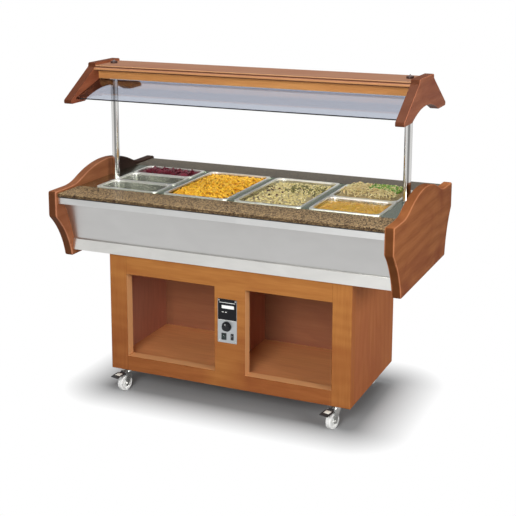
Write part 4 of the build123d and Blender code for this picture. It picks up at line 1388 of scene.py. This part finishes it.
@dataclass
class Helping:
    """What lies in one pan: a fill with a lumpy top, and loose bits on it.

    Attributes:
        pan: the pan's node and body.
        finish: what the fill is made of.
        level: height of the fill's edge below the rim, in metres.
        crown: how far the middle stands above the edge.
        lump: height of the lumps.
        lump_size: width of the lumps.
        toppings: the bits on it.
        wall: thickness of the pan's sheet.
        rim: width of its rim.
        gap: distance of the fill from the walls.
        floor_gap: distance of the fill from the floor.
        draft: slope of the walls, in radians.
        corner: radius of the upright corners.
        probe_from: height from which the fill is probed, over the canopy.
    """

    pan: str
    finish: Finish
    level: float
    crown: float
    lump: float
    lump_size: float
    toppings: list[Topping]
    wall: float = 1.2 * MM
    rim: float = 10.0 * MM
    gap: float = 3.0 * MM
    floor_gap: float = 2.0 * MM
    draft: float = math.radians(4.0)
    corner: float = 24 * MM
    probe_from: float = 3.0

    def serve(self) -> None:
        """Models the fill and everything on it, and puts both in the pan."""
        low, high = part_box(self.pan)
        edge = self.rim + self.wall + self.gap
        low = Vector((low.x + edge, low.y + edge, low.z + self.wall + self.floor_gap))
        high = Vector((high.x - edge, high.y - edge, high.z))
        fill = self._fill(low, high)

        def ground(x: float, y: float) -> tuple[float, Vector]:
            """Returns the height and the normal of the fill under a point."""
            hit, place, normal, _ = fill.ray_cast(Vector((x, y, self.probe_from)), DOWN)
            return (place.z, normal) if hit else (high.z - self.level, UP)

        for topping in self.toppings:
            bits = topping.scatter(0.5 * (low + high), 0.5 * topping.spread * (high - low), ground)
            Bench.dress(bits, topping.finish.make(), self.pan, "steel")
        Bench.dress(fill, self.finish.make(), self.pan, "steel")

    def _fill(self, low: Vector, high: Vector) -> Piece:
        """Models the fill: a block with sloping sides, round corners and a top that is cut finely.

        Args:
            low: lowest corner of the pan's hollow.
            high: its highest corner.

        Returns:
            The piece.
        """
        top = high.z - self.level
        size = Vector((high.x - low.x, high.y - low.y, top - low.z))
        middle = 0.5 * (low + Vector((high.x, high.y, top)))
        piece = Bench.settle(Bench.block(self.pan + "_fill", size, middle))
        pull = 2.0 * size.z * math.tan(self.draft)
        Bench.pick(piece, "FACE", lambda face: face.normal.z < -0.5)
        bpy.ops.transform.resize(value=(1 - pull / size.x, 1 - pull / size.y, 1.0), center_override=middle)
        Bench.ease(piece, self.corner, 5, 2, 0.5 * size.z)
        Bench.pick(piece, "FACE", lambda face: face.normal.z > 0.9)
        bpy.ops.mesh.delete(type="ONLY_FACE")
        Bench.pick(piece, "EDGE", lambda edge: edge.is_boundary)
        bpy.ops.mesh.fill_grid(span=6)
        Bench.pick(piece, "FACE", lambda face: face.normal.z > 0.9)
        bpy.ops.mesh.subdivide(number_cuts=3)
        Bench.clear()
        self._heap(piece, middle, size, top)
        return Bench.settle(piece, 70.0)

    def _heap(self, piece: Piece, middle: Vector, size: Vector, top: float) -> None:
        """Raises and roughens the top of the fill.

        Args:
            piece: the fill.
            middle: its middle.
            size: its size.
            top: height of its edge.
        """
        Bench.apply(piece, "SUBSURF", levels=1, render_levels=1, subdivision_type="SIMPLE")
        group = piece.vertex_groups.new(name="top")
        for v in piece.data.vertices:
            if v.co.z > top - 0.1 * MM:
                across = max(abs(v.co.x - middle.x) / (0.5 * size.x), abs(v.co.y - middle.y) / (0.5 * size.y))
                group.add([v.index], max(0.0, 1.0 - across ** 4), "REPLACE")
        lumps = bpy.data.textures.new(self.pan + "_lumps", "CLOUDS")
        lumps.noise_scale = self.lump_size
        lumps.noise_depth = 2
        for texture, strength, middle_level in ((None, self.crown, 0.0), (lumps, self.lump, 0.5)):
            Bench.apply(piece, "DISPLACE", texture=texture, direction="Z", strength=strength,
                        mid_level=middle_level, vertex_group="top", texture_coords="GLOBAL")


@dataclass
class Buffet:
    """The food: five helpings that lie in the pans and lift out with them."""

    def lay(self) -> None:
        """Models every helping."""
        for helping in (self._pasta(), self._salad(), self._noodles(), self._soup(), self._beetroot()):
            helping.serve()

    def _pasta(self) -> Helping:
        """Short tubes in a yellow sauce.

        Returns:
            The helping.
        """
        sauce = Edible("pasta_sauce", (0.60, 0.29, 0.022), (0.44, 0.18, 0.014), (0.46, 0.12, 0.012), 40.0)
        tube = Edible("pasta_tube", (0.86, 0.53, 0.042), (0.80, 0.40, 0.021), (0.66, 0.22, 0.014), 60.0, 0.45,
                      0.0002)
        return Helping("full_pan_left", sauce, 24 * MM, 20 * MM, 8 * MM, 0.030, [
            Topping("pasta_tubes", Tube(5.2 * MM, 27 * MM), tube, 500, 4.5 * MM, 34.0, 7),
        ])

    def _salad(self) -> Helping:
        """A pale salad with dark bits.

        Returns:
            The helping.
        """
        rice = Edible("salad_rice", (0.56, 0.44, 0.22), (0.40, 0.32, 0.13), (0.66, 0.58, 0.36), 90.0)
        leaf = Edible("salad_green", (0.20, 0.19, 0.050), (0.10, 0.085, 0.026), (0.34, 0.31, 0.10), 60.0)
        cube = Edible("salad_white", (0.69, 0.59, 0.28), (0.56, 0.45, 0.17), (0.78, 0.70, 0.42), 50.0)
        berry = Edible("salad_dark", (0.040, 0.018, 0.020), (0.12, 0.020, 0.020), (0.30, 0.040, 0.020), 70.0, 0.2)
        over, tilt = 1.5 * MM, 35.0
        return Helping("full_pan_right", rice, 24 * MM, 18 * MM, 12 * MM, 0.022, [
            Topping("salad_cubes", Crumb(11 * MM, 0.7), cube, 480, over, tilt, 11),
            Topping("salad_leaves", Crumb(12 * MM, 0.4), leaf, 170, over, tilt, 12, patch=(-0.25, 0.95, 0.05, 0.8)),
            Topping("salad_berries", Crumb(9 * MM, 0.9), berry, 34, over, tilt, 13, patch=(-1.0, 0.4, -1.0, 0.6)),
        ])

    def _noodles(self) -> Helping:
        """Loose strips in a high heap with herbs on it.

        Returns:
            The helping.
        """
        under = Edible("noodle_bed", (0.36, 0.27, 0.11), (0.24, 0.17, 0.06), (0.45, 0.36, 0.18), 60.0)
        strip = Edible("noodle_strip", (0.80, 0.68, 0.35), (0.60, 0.46, 0.19), (0.88, 0.80, 0.50), 50.0, 0.35,
                       0.0002, 0.1)
        herb = Edible("herb_leaf", (0.085, 0.22, 0.016), (0.19, 0.34, 0.035), (0.05, 0.11, 0.012), 80.0)
        return Helping("half_pan_rear", under, 10 * MM, 26 * MM, 12 * MM, 0.030, [
            Topping("noodle_strips", Curl(13 * MM, 1.7 * MM), strip, 420, 3 * MM, 40.0, 17, 0.84),
            Topping("herb_leaves", Crumb(14 * MM, 0.25), herb, 210, 9 * MM, 50.0, 19,
                    patch=(-0.05, 0.92, -0.2, 0.95)),
        ])

    def _soup(self) -> Helping:
        """An orange soup with small lumps.

        Returns:
            The helping.
        """
        broth = Edible("soup_broth", (0.78, 0.45, 0.026), (0.64, 0.32, 0.017), (0.88, 0.60, 0.06), 60.0, 0.42,
                       0.0005, 0.1)
        lump = Edible("soup_lump", (0.66, 0.42, 0.12), (0.54, 0.28, 0.055), (0.40, 0.15, 0.030), 40.0, 0.4)
        return Helping("half_pan_front", broth, 18 * MM, 6 * MM, 3 * MM, 0.040, [
            Topping("soup_lumps", Crumb(10 * MM, 0.7), lump, 130, -0.5 * MM, 20.0, 23),
        ])

    def _beetroot(self) -> Helping:
        """Dark red slices.

        Returns:
            The helping.
        """
        juice = Edible("beetroot_juice", (0.11, 0.012, 0.022), (0.07, 0.008, 0.014), (0.15, 0.018, 0.03), 30.0, 0.4)
        beet = Edible("beetroot_slice", (0.15, 0.016, 0.030), (0.09, 0.010, 0.018), (0.19, 0.024, 0.04), 40.0, 0.45)
        return Helping("third_pan_rear", juice, 9 * MM, 3 * MM, 3 * MM, 0.030, [
            Topping("beetroot_slices", Disc(15 * MM, 3 * MM), beet, 90, 1.2 * MM, 6.0, 29, 0.8),
        ])


@dataclass
class Studio:
    """The camera, the lamps, the pale floor and the white surroundings.

    Attributes:
        eye: the camera's place, in metres.
        yaw: heading of the view from +Y towards +X, in degrees.
        pitch: how far the view points up.
        roll: how far the camera leans.
        focal: focal length in pixels of the photograph.
        centre: the pixel that the lens points at.
        width: the photograph's width in pixels.
        sensor: the camera's sensor, in millimetres.
        floor_radius: radius of the floor.
        shade_start: distance from the base where the floor starts to fade to white, and the white there.
        shade_end: distance where it is white, and the white there.
        mirrored: share of that white that polished faces mirror.
        level: strength of the surroundings as a light.
        horizon: their strength in polished faces near the horizon.
        ceiling: how much that rises overhead.
        ceiling_top: height of a direction past which it rises no more.
        ceiling_bend: power of that height.
        sides: how much it rises to the left and right.
        sides_from: how far aside a direction starts to count.
        sides_steep: how fast it rises from there.
    """

    eye: Triple = (2.06432, -4.75663, 2.15266)
    yaw: float = -24.7127
    pitch: float = -11.4529
    roll: float = -0.1328
    focal: float = 1134.22
    centre: tuple[float, float] = (228.987, 162.113)
    width: float = 516.0
    sensor: float = 36.0
    floor_radius: float = 14.0
    shade_start: tuple[float, float] = (0.03, 0.0)
    shade_end: tuple[float, float] = (0.28, 1.0)
    mirrored: float = 0.75
    level: float = 0.20
    horizon: float = 0.10
    ceiling: float = 1.2
    ceiling_top: float = 0.7
    ceiling_bend: float = 1.5
    sides: float = 0.85
    sides_from: float = 0.62
    sides_steep: float = 8.0

    def camera(self) -> None:
        """Sets the camera as it was solved from the photograph."""
        data = bpy.data.cameras.new("camera")
        camera = bpy.data.objects.new("camera", data)
        bpy.context.scene.collection.objects.link(camera)
        heading = Matrix.Rotation(math.radians(-self.yaw), 4, "Z")
        rise = Matrix.Rotation(math.radians(90 + self.pitch), 4, "X")
        lean = Matrix.Rotation(math.radians(self.roll), 4, "Z")
        camera.matrix_world = Matrix.Translation(self.eye) @ (heading @ rise @ lean)
        data.sensor_width = self.sensor
        data.sensor_fit = "HORIZONTAL"
        data.lens = self.sensor * self.focal / self.width
        data.shift_x = (0.5 * self.width - self.centre[0]) / self.width
        data.shift_y = (self.centre[1] - 0.5 * self.width) / self.width
        data.clip_end = 100.0
        bpy.context.scene.camera = camera

    def floor(self) -> None:
        """Lays a grey floor that keeps the real shadow and glows white away from the base, so the grey round the
        base is also painted shade.
        """
        Bench.clear()
        bpy.ops.mesh.primitive_circle_add(vertices=96, radius=self.floor_radius, fill_type="NGON", location=ORIGIN)
        floor = Bench.settle(bpy.context.active_object)
        floor.name = "floor"
        paint = Paint("floor_paper")
        paint.colour = (0.34, 0.345, 0.35)
        paint.set(Roughness=0.9, Specular_IOR_Level=0.1)
        low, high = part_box("base_bottom")
        away = []
        for axis, near, past in (("X", low.x, high.x), ("Y", low.y, high.y)):
            off = paint.work("ABSOLUTE", paint.work("SUBTRACT", paint.axis(axis), 0.5 * (near + past)))
            beyond = paint.work("MAXIMUM", paint.work("SUBTRACT", off, 0.5 * (past - near)), 0.0)
            away.append(paint.work("POWER", beyond, 2.0))
        # Painted shade: the white glow fades in with distance from the base's footprint, so the floor near the base
        # stays grey.
        far = paint.ramp(paint.work("SQRT", paint.work("ADD", *away)), self.shade_start, self.shade_end)
        seen, polished = paint.seen()
        share = paint.times(far, paint.work("MAXIMUM", paint.times(polished, self.mirrored), seen))
        glow = paint.add("Emission", Strength=1.0)
        mix = paint.add("MixShader", share, paint.shader.outputs["BSDF"], glow.outputs[0])
        paint.feed(paint.output, mix.outputs[0])
        floor.data.materials.append(paint.material)

    def surroundings(self) -> None:
        """Sets a world that is white to the camera and through glass, and softer as a light."""
        world = bpy.data.worlds.new("surroundings")
        bpy.context.scene.world = world
        world.use_nodes = True
        board = NodeBoard(world.node_tree)
        way = board.add("SeparateXYZ", board.add("TexCoord").outputs["Generated"]).outputs
        height = board.work("MINIMUM", board.work("MAXIMUM", way["Z"], 0.0), self.ceiling_top)
        above = board.times(board.work("POWER", height, self.ceiling_bend), self.ceiling)
        aside = board.work("SUBTRACT", board.work("ABSOLUTE", way["X"]), self.sides_from)
        aside = board.work("MAXIMUM", board.times(aside, self.sides_steep), 0.0)
        aside = board.times(board.work("MINIMUM", aside, 1.0), self.sides)
        sky = board.work("ADD", above, board.work("ADD", aside, self.horizon))
        seen, polished = board.seen()
        light = board.work("ADD", board.times(polished, board.work("SUBTRACT", sky, self.level)), self.level)
        white = board.add("Background", Color=(1.0, 1.0, 1.0), Strength=board.work("MAXIMUM", light, seen))
        board.add("OutputWorld", Surface=white.outputs[0])

    def lamp(self, name: str, size: tuple[float, float], power: float, place: Triple, aim: Triple) -> None:
        """Hangs one soft lamp.

        Args:
            name: its name.
            size: its two sides, in metres.
            power: its power, in watts.
            place: where it hangs.
            aim: the point that it lights.
        """
        data = bpy.data.lights.new(name, "AREA")
        data.shape = "RECTANGLE"
        data.size, data.size_y = size
        data.energy = power
        lamp = bpy.data.objects.new(name, data)
        bpy.context.scene.collection.objects.link(lamp)
        lamp.location = place
        lamp.rotation_euler = (Vector(aim) - Vector(place)).to_track_quat("-Z", "Y").to_euler()
        lamp.visible_camera = False

    def build(self) -> None:
        """Sets up the whole studio."""
        self.camera()
        self.floor()
        self.surroundings()
        self.lamp("overhead", (6.0, 4.6), 380.0, (0.0, 1.0, 6.0), (0.0, 0.6, 0.0))
        self.lamp("front", (2.2, 2.4), 220.0, (0.7, -4.9, 2.3), (0.0, 0.0, 0.6))
        self.lamp("right", (1.6, 1.6), 75.0, (4.0, -1.8, 1.9), (0.6, 0.0, 0.6))
        bpy.context.scene.view_settings.view_transform = "Standard"


def write_sizes() -> None:
    """Updates the view layer."""
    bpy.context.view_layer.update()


def main() -> None:
    """Builds the looks in order."""
    logging.basicConfig(level=logging.INFO)
    Studio().build()
    Woodwork().dress()
    Metalwork().dress()
    ControlPanel().dress()
    Buffet().lay()
    write_sizes()


if __name__ == "__main__":
    main()
